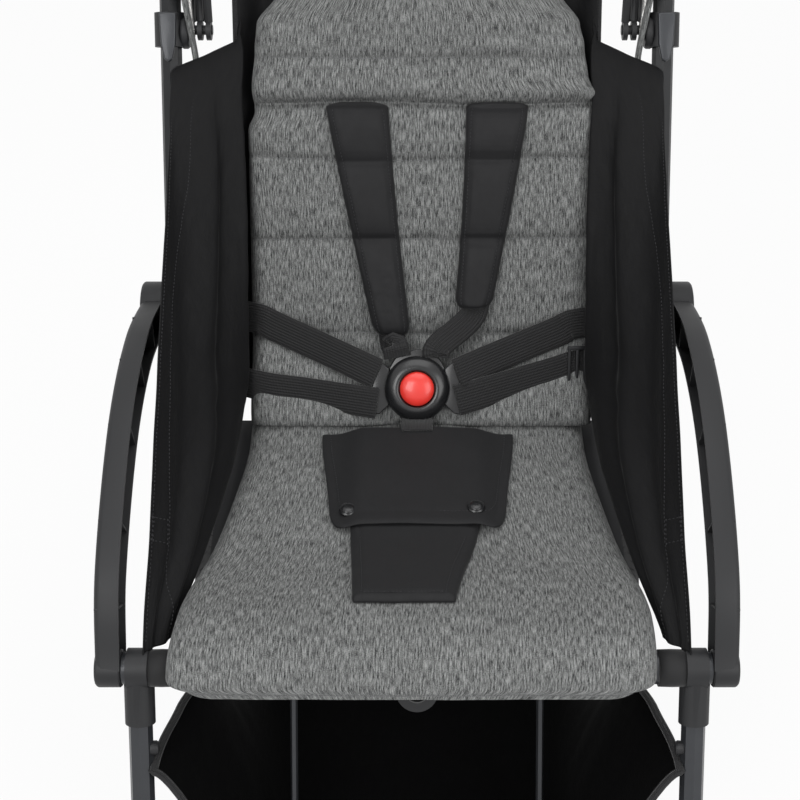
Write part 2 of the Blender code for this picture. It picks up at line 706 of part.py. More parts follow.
def make_shoulder_pad(side, top_x, low_x, low_along):
    """A padded strap cover, lying on the backrest and standing off towards its lower end."""
    def place(u, v, w):
        ends = min(1, min(v, 1 - v) / 0.06)
        round_end = math.sqrt(max(0, 1 - (1 - ends) ** 2))
        half = mix(*SHOULDER_WIDTHS, v) / 2 * (0.72 + 0.28 * round_end)
        rest = PAD_REST + PAD_THICK + SHOULDER_REST + SHOULDER_BEND * smooth_step(1 - v)
        thick = 0.003 + 0.006 * edge_fade(u, 0.3) * round_end
        along = mix(low_along, SHOULDER_TOP, v)
        return back_point(mix(low_x, top_x, v) + half * (2 * u - 1), along, rest + thick * w)
    return slab(f"shoulder_pad_{side}", 6, 10, place, "black_fabric")


def make_tongue(side, sign):
    def place(u, v, w):
        x = sign * mix(BUCKLE_R + 0.0006, BUCKLE_R + 0.026, u)
        half = mix(0.009, 0.0225, smooth_step(u * 1.4))
        return BUCKLE + X_AXIS * x + BUCKLE_UP * half * (2 * v - 1) + BUCKLE_OUT * 0.003 * (w - 0.5)
    return slab(f"buckle_tongue_{side}", 5, 4, place, "plastic")


def make_waist_strap(side, sign, level, end_up, clear, from_along):
    """One of the four straps between the buckle's tongues and the backrest's sides."""
    edge = sign * (BACK_HALF - 0.01)
    near = BUCKLE + X_AXIS * sign * (BUCKLE_R + clear) + BUCKLE_UP * end_up
    far = back_point(edge, from_along, back_face(edge - sign * 0.01, from_along) + 0.0006)
    mid = near.lerp(far, 0.5) + BACK_OUT * 0.006
    out = tuple(BACK_OUT)
    return strap(f"waist_strap_{level}_{side}", [near, mid, far], [tuple(BUCKLE_OUT), out, out],
                 WEB_WIDTH * 0.8)


# For each side: top and low places across and the low end's height of the shoulder pad, and the heights
# at which the upper and the lower waist strap leave the backrest
HARNESS_LAY = {"left": (-0.052, -0.021, 0.075, 0.089, 0.05), "right": (0.066, 0.047, 0.1, 0.084, 0.056)}


def make_harness():
    pieces = []
    out = tuple(BACK_OUT)
    for side, sign in SIDES:
        top_x, low_x, low_along, upper, lower = HARNESS_LAY[side]
        pieces.append(make_shoulder_pad(side, top_x, low_x, low_along))
        rest = PAD_REST + PAD_THICK + SHOULDER_REST + SHOULDER_BEND
        start = back_point(low_x, low_along - FIT, rest + 0.001)
        end = BUCKLE + X_AXIS * sign * 0.04 + BUCKLE_UP * 0.0256
        line = [start, start.lerp(end, 0.5), end]
        normals = [out, out, tuple(BUCKLE_OUT)]
        pieces.append(strap(f"shoulder_strap_{side}", line, normals, 0.024, X_AXIS))
        pieces.append(make_tongue(side, sign))
        pieces.append(make_waist_strap(side, sign, "upper", 0.0095, 0.0325, upper))
        pieces.append(make_waist_strap(side, sign, "lower", -0.0145, 0.0315, lower))
    housing = [(0.0, -BUCKLE_THICK / 2), (BUCKLE_R - 0.002, -BUCKLE_THICK / 2),
               (BUCKLE_R, -BUCKLE_THICK / 2 + 0.002), (BUCKLE_R, 0.002), (BUCKLE_R - 0.0035, 0.0068),
               (BUTTON_R + 0.0025, BUCKLE_THICK / 2), (BUTTON_R + FIT, BUCKLE_THICK / 2 - 0.0012),
               (BUTTON_R + FIT, -0.003), (0.0, -0.003)]
    pieces.append(turned("buckle_housing", housing, BUCKLE, BUCKLE_OUT, "plastic", 28))
    button = [(0.0, 0.0002), (BUTTON_R, 0.0002), (BUTTON_R, BUCKLE_THICK / 2 - 0.0012),
              (BUTTON_R - 0.002, BUCKLE_THICK / 2 + 0.0008), (BUTTON_R * 0.5, BUCKLE_THICK / 2 + 0.0022),
              (0.0, BUCKLE_THICK / 2 + 0.0026)]
    pieces.append(turned("buckle_button", button, BUCKLE, BUCKLE_OUT, "red_plastic", 24))
    return pieces


def make_crotch():
    def above(share):
        return PAD_THICK * (1 + 0.1 * math.sin(math.pi * share)) + 2.5 * FIT

    def body(u, v, w):
        share = mix(0.44, CROTCH_END, v)
        half = mix(0.04, 0.058, smooth_step(v * 1.3))
        fade = edge_fade(u, 0.25) * min(1, min(v, 1 - v) / 0.08)
        spot, way = seat_line(share)
        lift = above(share) + (0.002 + 0.005 * fade) * w
        return spot + X_AXIS.cross(way) * lift + X_AXIS * (half * (2 * u - 1) - 0.012 * (1 - v))

    def flap(u, v, w):
        share = mix(0.672, CROTCH_END + 0.003, v)
        half = 0.08 * (1 - 0.14 * (1 - smooth_step(v / 0.2)) ** 2)
        spot, way = seat_line(share)
        lift = above(share) + 0.0076 + 0.002 * w
        return spot + X_AXIS.cross(way) * lift + X_AXIS * half * (2 * u - 1)

    pad = slab("crotch_pad", 6, 8, body, "black_fabric")
    cover = slab("crotch_flap", 6, 4, flap, "black_fabric")
    foot = CROTCH_END + 0.0005
    spot, way = seat_line(foot)
    start = spot + X_AXIS.cross(way) * (above(foot) + 0.0017)
    end = BUCKLE - BUCKLE_UP * (BUCKLE_R + 0.0006)
    web = strap("crotch_strap", [start, end], [(0, -0.55, 0.83), tuple(BUCKLE_OUT)], 0.026, rows=3)
    return [pad, cover, web]


# Hood


def hoop_shape(half, reach):
    """A hood rib's middle line in its own plane: across, and out from the pivot."""
    corners = [Vector((x, y, 0)) for x, y in ((-half, 0), (-half, reach), (half, reach), (half, 0))]
    return rounded_path(corners, RIB_CORNER_R)


def make_rib(name, half, reach, angle):
    out = Vector((0, math.cos(angle), math.sin(angle)))
    points = [CLAMP + X_AXIS * p.x + out * max(0.007, p.y) for p in hoop_shape(half, reach)]
    rib = tube(name, points, RIB_R, "plastic", 2)
    for side, sign in SIDES:
        eye = at_x(CLAMP, sign * half)
        flat = X_AXIS * RIB_EYE_THICK / 2
        join(rib, rod(f"{name}_eye_{side}", eye - flat, eye + flat, RIB_EYE_R, "plastic", 14))
        cut(rib, rod(f"{name}_bore_{side}", eye - 3 * flat, eye + 3 * flat, RIB_PIN_R + FIT, "plastic", 10))
    return rib


def make_clamp(side, sign):
    middle = at_x(CLAMP, sign * HANDLE_X)
    profile = ring_profile(TUBE_R + FIT, CLAMP_R, 0.014)
    clamp = turned(f"hood_clamp_{side}", profile, middle, HANDLE_DIR, "plastic", 28)
    start = at_x(CLAMP, sign * (HANDLE_X - TUBE_R - 0.002))
    end = at_x(CLAMP, sign * (HANDLE_X - 0.0352))
    return join(clamp, rod(f"hood_pin_{side}", start, end, RIB_PIN_R, "plastic", 16))


def make_hood():
    """One curved sheet over the ribs, a little slack between them."""
    hoop = hoop_shape(RIB_X[0] + 0.0006, RIB_REACH)[1:-1]
    low = [Vector((hoop[0].x, reach, 0)) for reach in (0.035, 0.07)]
    line = low + hoop + [Vector((-p.x, p.y, 0)) for p in reversed(low)]
    centre_reach = RIB_REACH - RIB_CORNER_R

    def place(u, v, w):
        angle = mix(RIB_ANGLES[0], RIB_ANGLES[2], v)
        out = Vector((0, math.cos(angle), math.sin(angle)))
        spot = line[round(u * (len(line) - 1))]
        away = Vector((spot.x, max(0, spot.y - centre_reach), 0))
        if abs(spot.x) > RIB_X[0]:
            away = Vector((spot.x, 0, 0))
        spot = spot + away.normalized() * (RIB_R + 0.0024 + HOOD_THICK * w)
        return CLAMP + X_AXIS * spot.x + out * spot.y
    return slab("hood_fabric", len(line) - 1, 8, place, "melange")


# Braces, basket and pull


def make_brace(name, x, start, end, bore):
    """One half of a folding brace: a thin tube with a flat eye at each end."""
    way = (end - start).normalized()
    brace = rod(name, at_x(start + way * 0.006, x), at_x(end - way * 0.004, x), BRACE_R, "frame", 10)
    near, far = at_x(start, x), at_x(end, x)
    flat = X_AXIS * BRACE_EYE_THICK / 2
    join(brace, rod(f"{name}_eye", near - flat, near + flat, bore + 0.0035, "frame", 14))
    join(brace, rod(f"{name}_knee", far - flat, far + flat, BRACE_KNEE_R, "frame", 14))
    return cut(brace, rod(f"{name}_bore", near - 3 * flat, near + 3 * flat, bore, "frame", 14))


def make_braces():
    pieces = []
    lower_x = BRACE_HALF - BRACE_EYE_THICK - FIT - LAYER_GAP
    for side, sign in SIDES:
        pieces.append(make_brace(f"brace_lower_{side}", sign * lower_x, AXLE, BRACE_KNEE, TUBE_R + FIT))
        pieces.append(make_brace(f"brace_upper_{side}", sign * BRACE_HALF, BRACE_SEAT, BRACE_KNEE,
                                 BRACE_PIN_R + FIT))
    return pieces


def make_basket():
    """A cloth tub with raised sides, its front corners against the legs and its rear strapped up."""
    def place(u, v, w):
        rim = mix(BASKET_RIM_Z, BASKET_REAR_Z, smooth_step((v - 0.25) / 0.7))
        side = smooth_step((abs(2 * u - 1) - 0.7) / 0.3)
        front = smooth_step((0.16 - v) / 0.16)
        rear = smooth_step((v - 0.86) / 0.14)
        rise = max(side * (rim - BASKET_FLOOR_Z), front * 0.03, rear * (BASKET_REAR_Z - BASKET_FLOOR_Z))
        lean = rise / (BASKET_RIM_Z - BASKET_FLOOR_Z)
        y = BAR_Y + mix(mix(BASKET_FRONT, BASKET_FRONT_TOP, lean), BASKET_REAR, v)
        flare = (LEG_X - TUBE_R - 2 * FIT - BASKET_HALF) * (1 - smooth_step(v / 0.45))
        half = mix(BASKET_HALF - 0.012, BASKET_HALF + flare, side)
        return Vector(((2 * u - 1) * half, y, BASKET_FLOOR_Z + rise + BASKET_WALL * w))
    basket = slab("basket", 14, 10, place, "black_fabric")
    rear = BAR_Y + BASKET_REAR
    under = HINGE.z - BOARD_THICK / 2 - FIT
    for side, sign in SIDES:
        x = sign * (BASKET_HALF - 0.013)
        join(basket, box(f"basket_strap_{side}", (x - 0.008, rear - 0.006, BASKET_REAR_Z - 0.009),
                         (x + 0.008, rear - 0.004, under), "webbing"))
    return basket


def make_hanger():
    """The wire hoop that holds the basket's floor up at the front."""
    top = Vector((0, BAR_Y + 0.13, HINGE.z - BOARD_THICK / 2 - FIT - HANGER_R * 0.65))
    low = Vector((0, BAR_Y - 0.015, BASKET_FLOOR_Z + BASKET_WALL + HANGER_R + FIT))
    ends = ((top, -1), (low, -1), (low, 1), (top, 1))
    corners = [at_x(point, sign * HANGER_HALF) for point, sign in ends]
    return tube("basket_hanger", rounded_path(corners, 0.03, 4), HANGER_R, "frame", 1)


def make_pull():
    """The round fold release under the seat's front edge, on its short stem."""
    centre = BAR + Vector((0, 0.03, -0.062))
    out = Vector((0, -0.8, 0.6)).normalized()
    ring = turned("fold_pull", ring_profile(0.0095, 0.0165, 0.0022), centre, out, "plastic", 32)
    top = Vector((0, centre.y + 0.004, HINGE.z - BOARD_THICK / 2 - 3 * FIT))
    return join(ring, rod("pull_stem", centre + Vector((0, 0.008, 0.0115)), top, 0.0035, "plastic", 14))


def hang(pivots, name, parent, place):
    """An empty on a joint's axis, with its pieces hung from it."""
    empty = bpy.data.objects.new(name, None)
    empty.location = place - (pivots[parent][1] if parent else Vector())
    if parent:
        empty.parent = pivots[parent][0]
    PARTS.objects.link(empty)
    pivots[name] = (empty, place)


def attach(pivots, name, pieces):
    empty, place = pivots[name]
    for piece in pieces:
        piece.parent = empty
        piece.matrix_parent_inverse = Matrix.Translation(-place)


def build():
    pivots = {}
    hang(pivots, "rear_frame_pivot", None, Vector())
    hang(pivots, "handle_pivot", "rear_frame_pivot", HUB)
    hang(pivots, "front_frame_pivot", "rear_frame_pivot", HUB)
    hang(pivots, "backrest_pivot", "front_frame_pivot", HINGE)
    attach(pivots, "rear_frame_pivot", make_rear_legs())
    front_rib = make_rib("hood_rib_front", RIB_X[2], RIB_REACH, RIB_ANGLES[2])
    middle_rib = make_rib("hood_rib_middle", RIB_X[1], RIB_REACH, RIB_ANGLES[1])
    rear_rib = make_rib("hood_rib_rear", RIB_X[0], RIB_REACH, RIB_ANGLES[0])
    clamps = [make_clamp(*side) for side in SIDES]
    attach(pivots, "handle_pivot", make_handle() + clamps + [rear_rib, make_hood()])
    for name, rib in (("hood_front_pivot", front_rib), ("hood_middle_pivot", middle_rib)):
        hang(pivots, name, "handle_pivot", CLAMP)
        attach(pivots, name, [rib])
    harness = make_harness()
    on_back = [p for p in harness if p.name.startswith("shoulder")]
    on_seat = [p for p in harness if not p.name.startswith("shoulder") and p.name != "buckle_button"]
    front = [make_bar(), make_board(), make_seat_pad(), make_basket(), make_hanger()]
    front += make_crotch() + on_seat
    for side, sign in SIDES:
        front += [make_arm(side, sign), make_front_leg(side, sign), make_connector(side, sign),
                  make_side_panel(side, sign), make_bar_loop(side, sign)]
    attach(pivots, "front_frame_pivot", front)
    attach(pivots, "backrest_pivot", [make_back_frame(), make_back_pad(), *on_back])
    hang(pivots, "button_pivot", "front_frame_pivot", BUCKLE)
    attach(pivots, "button_pivot", [p for p in harness if p.name == "buckle_button"])
    hang(pivots, "pull_pivot", "front_frame_pivot", BAR)
    attach(pivots, "pull_pivot", [make_pull()])
    hang(pivots, "brake_pivot", "rear_frame_pivot", AXLE)
    attach(pivots, "brake_pivot", [make_brake()])
    braces = make_braces()
    hang(pivots, "brace_lower_pivot", "rear_frame_pivot", AXLE)
    attach(pivots, "brace_lower_pivot", [p for p in braces if "lower" in p.name])
    hang(pivots, "brace_upper_pivot", "front_frame_pivot", BRACE_SEAT)
    attach(pivots, "brace_upper_pivot", [p for p in braces if "upper" in p.name])
    for side, sign in SIDES:
        foot = at_x(FOOT, sign * LEG_X)
        hang(pivots, f"caster_pivot_{side}", "front_frame_pivot", foot)
        attach(pivots, f"caster_pivot_{side}", [make_fork(side, sign)])
        wheel = at_x(CASTER_HUB, sign * LEG_X)
        hang(pivots, f"front_wheel_pivot_{side}", f"caster_pivot_{side}", wheel)
        attach(pivots, f"front_wheel_pivot_{side}", make_wheel(f"front_{side}", wheel, FRONT_WHEEL_R))
        rear = at_x(AXLE, sign * (OUTER_HALF - WHEEL_WIDTH / 2))
        hang(pivots, f"rear_wheel_pivot_{side}", "rear_frame_pivot", rear)
        attach(pivots, f"rear_wheel_pivot_{side}", make_wheel(f"rear_{side}", rear, REAR_WHEEL_R))


RIB_X = (HANDLE_X - 0.0175, HANDLE_X - 0.0248, HANDLE_X - 0.0321)

clear_scene()
PARTS = new_collection("stroller")
CUTTERS = new_collection("cutters", hidden=True)
MATERIALS = {name: make_finish(name) for name in FINISHES}
build()
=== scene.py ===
"""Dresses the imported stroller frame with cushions, cloth, harness, hood, basket and finishes, in metres."""

import json
import math

import bmesh
import bpy
import numpy as np
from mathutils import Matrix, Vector, noise
from mathutils.bvhtree import BVHTree


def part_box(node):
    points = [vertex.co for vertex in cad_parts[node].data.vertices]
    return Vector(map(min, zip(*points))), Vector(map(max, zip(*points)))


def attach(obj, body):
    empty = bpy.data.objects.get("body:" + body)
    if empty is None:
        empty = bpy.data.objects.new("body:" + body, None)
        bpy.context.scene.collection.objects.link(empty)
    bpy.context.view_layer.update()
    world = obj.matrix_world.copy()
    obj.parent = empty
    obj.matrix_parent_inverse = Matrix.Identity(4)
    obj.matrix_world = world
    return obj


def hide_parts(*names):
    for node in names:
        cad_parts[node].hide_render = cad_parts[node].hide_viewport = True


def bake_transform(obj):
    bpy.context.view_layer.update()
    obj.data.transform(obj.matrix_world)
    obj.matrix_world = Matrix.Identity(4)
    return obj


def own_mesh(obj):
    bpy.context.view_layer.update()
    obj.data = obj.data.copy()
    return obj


bl_info = {
    "name": "Folding stroller",
    "version": (1, 0, 0),
    "blender": (4, 5, 0),
    "location": "3D View > Sidebar > Stroller",
    "description": "Cushions, cloth, harness, hood and finishes on the frame of a folding stroller",
    "category": "Object",
}

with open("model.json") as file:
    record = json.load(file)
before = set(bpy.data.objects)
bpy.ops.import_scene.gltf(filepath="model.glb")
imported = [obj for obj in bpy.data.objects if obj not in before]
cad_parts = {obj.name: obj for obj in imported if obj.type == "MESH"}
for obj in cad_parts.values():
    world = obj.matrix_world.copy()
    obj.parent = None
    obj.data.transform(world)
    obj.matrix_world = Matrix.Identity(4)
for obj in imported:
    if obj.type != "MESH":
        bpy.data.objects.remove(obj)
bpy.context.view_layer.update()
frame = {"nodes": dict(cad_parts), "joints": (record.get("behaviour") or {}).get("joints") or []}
JOINTS = {joint["name"]: joint for joint in frame["joints"]}

X_AXIS = Vector((1, 0, 0))
Z_AXIS = Vector((0, 0, 1))
SIDES = (("left", -1), ("right", 1))


def joint_place(name):
    return Vector(JOINTS[name]["pos_m"])


def middle(node):
    low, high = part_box(node)
    return (low + high) / 2


# Places on the frame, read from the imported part
BAR = middle("seat_bar")
BAR_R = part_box("seat_bar")[1].z - BAR.z
HUB = joint_place("handle_fold")
HINGE = joint_place("recline")
CLAMP = joint_place("hood_open")
HANDLE_DIR = (CLAMP - HUB).normalized()
HANDLE_X = middle("hood_clamp_right").x + 0.0108
LEG_X = middle("front_leg_right").x
LEG_FOOT = joint_place("caster_swivel_right")
OUTER_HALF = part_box("side_arm_right")[1].x
ARM_WIDTH = OUTER_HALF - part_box("side_arm_right")[0].x
BACK_LEAN = math.radians(27)
BACK_DIR = Vector((0, math.sin(BACK_LEAN), math.cos(BACK_LEAN)))
BACK_OUT = Vector((0, -math.cos(BACK_LEAN), math.sin(BACK_LEAN)))
BUCKLE_TILT = math.radians(36)
BUCKLE_OUT = Vector((0, -math.cos(BUCKLE_TILT), math.sin(BUCKLE_TILT)))
BUCKLE_UP = Vector((0, math.sin(BUCKLE_TILT), math.cos(BUCKLE_TILT)))
BUCKLE_ALONG = 0.036
BUCKLE = HINGE + BACK_DIR * BUCKLE_ALONG + BACK_OUT * 0.06

FINISH = {}


# Numbers and lines


def smooth_step(value):
    value = min(1.0, max(0.0, value))
    return value * value * (3 - 2 * value)


def mix(a, b, share):
    return a + (b - a) * share


def ripple(x, y, z=0.0):
    """Smooth noise between about -1 and 1, the same on each run."""
    return noise.noise(Vector((x, y, z)))


def at_x(point, x):
    return Vector((x, point.y, point.z))


def along_points(points, share):
    """A point on the smooth line through a short list of points, and its direction."""
    last = len(points) - 1
    place = min(last - 1e-6, max(0, share * last))
    index = int(place)
    t = place - index
    p1, p2 = Vector(points[index]), Vector(points[index + 1])
    p0 = Vector(points[index - 1]) if index else 2 * p1 - p2
    p3 = Vector(points[index + 2]) if index + 2 <= last else 2 * p2 - p1
    spot = 0.5 * (2 * p1 + (p2 - p0) * t + (2 * p0 - 5 * p1 + 4 * p2 - p3) * t**2
                  + (3 * p1 - p0 - 3 * p2 + p3) * t**3)
    way = 0.5 * ((p2 - p0) + 2 * (2 * p0 - 5 * p1 + 4 * p2 - p3) * t
                 + 3 * (3 * p1 - p0 - 3 * p2 + p3) * t**2)
    return spot, way.normalized()


def smooth_line(points, count):
    return [along_points(points, index / (count - 1))[0] for index in range(count)]


def rounded_path(corners, radius, steps=10):
    """Straight runs between the corners, with an arc at each inner corner."""
    path = [corners[0]]
    for before, corner, after in zip(corners, corners[1:], corners[2:]):
        back = (before - corner).normalized()
        ahead = (after - corner).normalized()
        half = back.angle(ahead) / 2
        centre = corner + (back + ahead).normalized() * radius / math.sin(half)
        reach = radius / math.tan(half)
        first = (corner + back * reach - centre).normalized()
        final = (corner + ahead * reach - centre).normalized()
        for step in range(steps + 1):
            path.append(centre + first.slerp(final, step / steps) * radius)
    path.append(corners[-1])
    return path


# Meshes


def placed(name, data):
    """A new object with some data, linked to the scene."""
    made = bpy.data.objects.new(name, data)
    bpy.context.scene.collection.objects.link(made)
    return made


def new_piece(name, verts, faces, corner_uvs=None, edges=()):
    mesh = bpy.data.meshes.new(name)
    mesh.from_pydata([tuple(vert) for vert in verts], edges, faces)
    if corner_uvs:
        layer = mesh.uv_layers.new(name="cloth")
        layer.uv.foreach_set("vector", np.array(corner_uvs, np.float32).ravel())
    return placed(name, mesh)


def from_bmesh(name, bm):
    mesh = bpy.data.meshes.new(name)
    bm.to_mesh(mesh)
    bm.free()
    return placed(name, mesh)


def face_outwards(piece):
    bm = bmesh.new()
    bm.from_mesh(piece.data)
    bmesh.ops.recalc_face_normals(bm, faces=bm.faces)
    if bm.calc_volume(signed=True) < 0:
        bmesh.ops.reverse_faces(bm, faces=bm.faces)
    bm.to_mesh(piece.data)
    bm.free()
    return piece


def distances(points):
    total = [0.0]
    for before, after in zip(points, points[1:]):
        total.append(total[-1] + (after - before).length)
    return total


def grid_distances(verts, across, along):
    """Distances along the middle row and the middle column of a grid."""
    row = across + 1
    return (distances(verts[(along // 2) * row:(along // 2 + 1) * row]),
            distances([verts[j * row + across // 2] for j in range(along + 1)]))


def cloth_grid(name, across, along, place):
    """An open sheet: place(u, v) gives each point. Its UV map holds distances in metres."""
    verts = [place(i / across, j / along) for j in range(along + 1) for i in range(across + 1)]
    row = across + 1
    u_at, v_at = grid_distances(verts, across, along)
    faces, uvs = [], []
    for j in range(along):
        for i in range(across):
            corners = ((i, j), (i + 1, j), (i + 1, j + 1), (i, j + 1))
            faces.append([b * row + a for a, b in corners])
            uvs += [(u_at[a], v_at[b]) for a, b in corners]
    return new_piece(name, verts, faces, uvs)


def pad_grid(name, across, along, place):
    """A closed pad: place(u, v, w) gives each point, w 0 underneath and 1 on the face."""
    row = across + 1
    count = row * (along + 1)
    verts = [place(i / across, j / along, w) for w in (1, 0) for j in range(along + 1)
             for i in range(across + 1)]
    u_at, v_at = grid_distances(verts, across, along)
    faces, uvs = [], []
    for j in range(along):
        for i in range(across):
            corners = ((i, j), (i + 1, j), (i + 1, j + 1), (i, j + 1))
            for base, order in ((0, corners), (count, corners[::-1])):
                faces.append([base + b * row + a for a, b in order])
                uvs += [(u_at[a], v_at[b]) for a, b in order]
    rim = ([(i, 0) for i in range(across)] + [(across, j) for j in range(along)]
           + [(i, along) for i in range(across, 0, -1)] + [(0, j) for j in range(along, 0, -1)])
    for (a, b), (c, d) in zip(rim, rim[1:] + rim[:1]):
        first, second = b * row + a, d * row + c
        faces.append([second, first, count + first, count + second])
        uvs += [(u_at[c], v_at[d]), (u_at[a], v_at[b]), (u_at[a], v_at[b]), (u_at[c], v_at[d])]
    return face_outwards(new_piece(name, verts, faces, uvs))


def sweep(name, points, outs, section, closed=False):
    """A closed section carried along a line, its first axis across and its second along the outs.

    The section is a list of points, or a function that gives the list for each share of the way.
    """
    count = len(points)
    shapes = [section(index / (count - 1)) if callable(section) else section for index in range(count)]
    ring = len(shapes[0])
    verts = []
    for index, (point, out) in enumerate(zip(points, outs)):
        ahead = points[(index + 1) % count] if closed or index + 1 < count else point
        behind = points[index - 1] if closed or index else point
        way = (ahead - behind).normalized()
        side = way.cross(out).normalized()
        up = side.cross(way)
        verts += [point + side * a + up * b for a, b in shapes[index]]
    v_at = distances(list(points) + ([points[0]] if closed else []))
    u_at = distances([Vector((a, b, 0)) for a, b in list(shapes[0]) + [shapes[0][0]]])
    faces, uvs = [], []
    for j in range(count if closed else count - 1):
        for i in range(ring):
            k, m = (i + 1) % ring, (j + 1) % count
            faces.append([j * ring + i, j * ring + k, m * ring + k, m * ring + i])
            uvs += [(u_at[i], v_at[j]), (u_at[i + 1], v_at[j]), (u_at[i + 1], v_at[j + 1]),
                    (u_at[i], v_at[j + 1])]
    if not closed:
        for j, order in ((0, range(ring - 1, -1, -1)), (count - 1, range(ring))):
            faces.append([j * ring + i for i in order])
            uvs += [(u_at[i], v_at[j]) for i in order]
    return face_outwards(new_piece(name, verts, faces, uvs))


def round_section(radius, sides=12, flat=1.0):
    turns = [2 * math.pi * step / sides for step in range(sides)]
    return [(radius * math.cos(turn), radius * flat * math.sin(turn)) for turn in turns]


def web_section(width, thick):
    """A flat strap's section, lying on its line, with soft edges."""
    half, soft = width / 2, thick * 0.6
    low = [(-half, thick * 0.5), (-half + soft, 0), (-half / 2, 0), (0, 0), (half / 2, 0), (half - soft, 0)]
    high = [(half, thick * 0.5), (half - soft, thick), (half / 2, thick * 1.08), (0, thick * 1.12),
            (-half / 2, thick * 1.08), (-half + soft, thick)]
    return low + high


def turned(name, profile, origin, axis, steps=64, loop=False):
    """A turned piece: (radius, height) points, a closed loop or a line between two points on the axis."""
    bm = bmesh.new()
    turn = axis.to_track_quat("Z", "Y").to_matrix()
    verts = [bm.verts.new((radius, 0, height)) for radius, height in profile]
    pairs = list(zip(verts, verts[1:])) + ([(verts[-1], verts[0])] if loop else [])
    edges = [bm.edges.new(pair) for pair in pairs]
    bmesh.ops.spin(bm, geom=verts + edges, axis=(0, 0, 1), cent=(0, 0, 0), angle=2 * math.pi,
                   steps=steps, use_merge=True)
    bmesh.ops.remove_doubles(bm, verts=bm.verts, dist=1e-6)
    for vert in bm.verts:
        vert.co = turn @ vert.co + origin
    return face_outwards(from_bmesh(name, bm))


def slab(half, low, high):
    """A rectangle's corners, as an outline for a plate."""
    return [(-half, low), (half, low), (half, high), (-half, high)]


def plate(name, outline, centre, side, up, thick, bevel=0.0008):
    """A flat plate cut to an outline of (across, up) points, centred on its thickness, with soft edges."""
    out = side.cross(up).normalized()
    bm = bmesh.new()
    verts = [bm.verts.new(centre + side * a + up * b - out * thick / 2) for a, b in outline]
    rim = [bm.edges.new((verts[i - 1], verts[i])) for i in range(len(verts))]
    bmesh.ops.triangle_fill(bm, use_beauty=True, edges=rim)
    raised = bmesh.ops.extrude_face_region(bm, geom=list(bm.faces))["geom"]
    for item in raised:
        if isinstance(item, bmesh.types.BMVert):
            item.co += out * thick
    bmesh.ops.recalc_face_normals(bm, faces=bm.faces)
    bmesh.ops.dissolve_limit(bm, angle_limit=0.01, verts=bm.verts, edges=bm.edges)
    sharp = [edge for edge in bm.edges if edge.is_manifold and edge.calc_face_angle(0) > 0.9]
    bmesh.ops.bevel(bm, geom=sharp, offset=bevel, segments=3, profile=0.5, affect="EDGES",
                    clamp_overlap=True)
    return face_outwards(from_bmesh(name, bm))


def merged(name, pieces):
    """Several pieces of one body as one object, each keeping its shell and its UV map."""
    bm = bmesh.new()
    for piece in pieces:
        bm.from_mesh(piece.data)
        bpy.data.objects.remove(piece)
    return from_bmesh(name, bm)


def settled(piece):
    """The piece with its modifiers worked into a plain mesh."""
    bpy.context.view_layer.update()
    graph = bpy.context.evaluated_depsgraph_get()
    mesh = bpy.data.meshes.new_from_object(piece.evaluated_get(graph))
    piece.modifiers.clear()
    piece.data = mesh
    return piece


def finer(piece, levels=1):
    change = piece.modifiers.new("finer", "SUBSURF")
    change.levels = change.render_levels = levels
    return settled(piece)


def walled(piece, thick):
    change = piece.modifiers.new("wall", "SOLIDIFY")
    change.thickness = thick
    change.offset = 0
    return settled(piece)


def points_of(mesh):
    co = np.zeros(len(mesh.vertices) * 3)
    mesh.vertices.foreach_get("co", co)
    return co.reshape(-1, 3)


def inflate(piece, sewn, pressure=3.0, slack=0.02, frames=16, cap=0.006, stiff=15.0):
    """Blows a sewn pad up as cloth: sewn gives each point's grip, 1 where a seam holds it."""
    scene = bpy.context.scene
    rest = points_of(piece.data)
    group = piece.vertex_groups.new(name="sewn")
    for index, grip in enumerate(sewn):
        if grip > 0:
            group.add([index], grip, "REPLACE")
    cloth = piece.modifiers.new("cloth", "CLOTH")
    rules = cloth.settings
    rules.vertex_group_mass = "sewn"
    rules.quality = 6
    rules.mass = 0.3
    rules.tension_stiffness = rules.compression_stiffness = stiff
    rules.shear_stiffness = stiff / 3
    rules.bending_stiffness = 0.4
    rules.shrink_min = -slack
    rules.use_pressure = pressure > 0
    rules.uniform_pressure_force = pressure
    rules.effector_weights.gravity = 0
    cloth.point_cache.frame_start = 1
    cloth.point_cache.frame_end = frames
    for step in range(1, frames + 1):
        scene.frame_set(step)
    graph = bpy.context.evaluated_depsgraph_get()
    mesh = bpy.data.meshes.new_from_object(piece.evaluated_get(graph))
    move = points_of(mesh) - rest
    bpy.data.meshes.remove(mesh)
    far = np.linalg.norm(move, axis=1, keepdims=True)
    move *= np.minimum(1, cap / np.maximum(far, 1e-9))
    piece.modifiers.remove(cloth)
    piece.vertex_groups.clear()
    piece.data.vertices.foreach_set("co", (rest + move).ravel())
    piece.data.update()
    scene.frame_set(1)
    return piece


def rim_grip(across, along, seam_at=lambda v: 0):
    """How firmly each point of a pad is held: its underside and rim fully, its seams as seam_at says."""
    grips = []
    for underside in (False, True):
        for j in range(along + 1):
            held = seam_at(j / along)
            for i in range(across + 1):
                rim = i in (0, across) or j in (0, along)
                near = max(0, 1 - min(i, across - i) / 4, 1 - min(j, along - j) / 5)
                grips.append(1 if rim or underside else max(0.6 * near, held))
    return grips


def surface_of(piece):
    bm = bmesh.new()
    bm.from_mesh(piece.data)
    tree = BVHTree.FromBMesh(bm)
    bm.free()
    return tree


def dropped(tree, point, out, reach=0.08):
    """Where a line along -out first meets the surface, seen from outside, or the point itself."""
    hit = tree.ray_cast(point + out * reach, -out, 2 * reach)[0]
    return hit if hit is not None else point


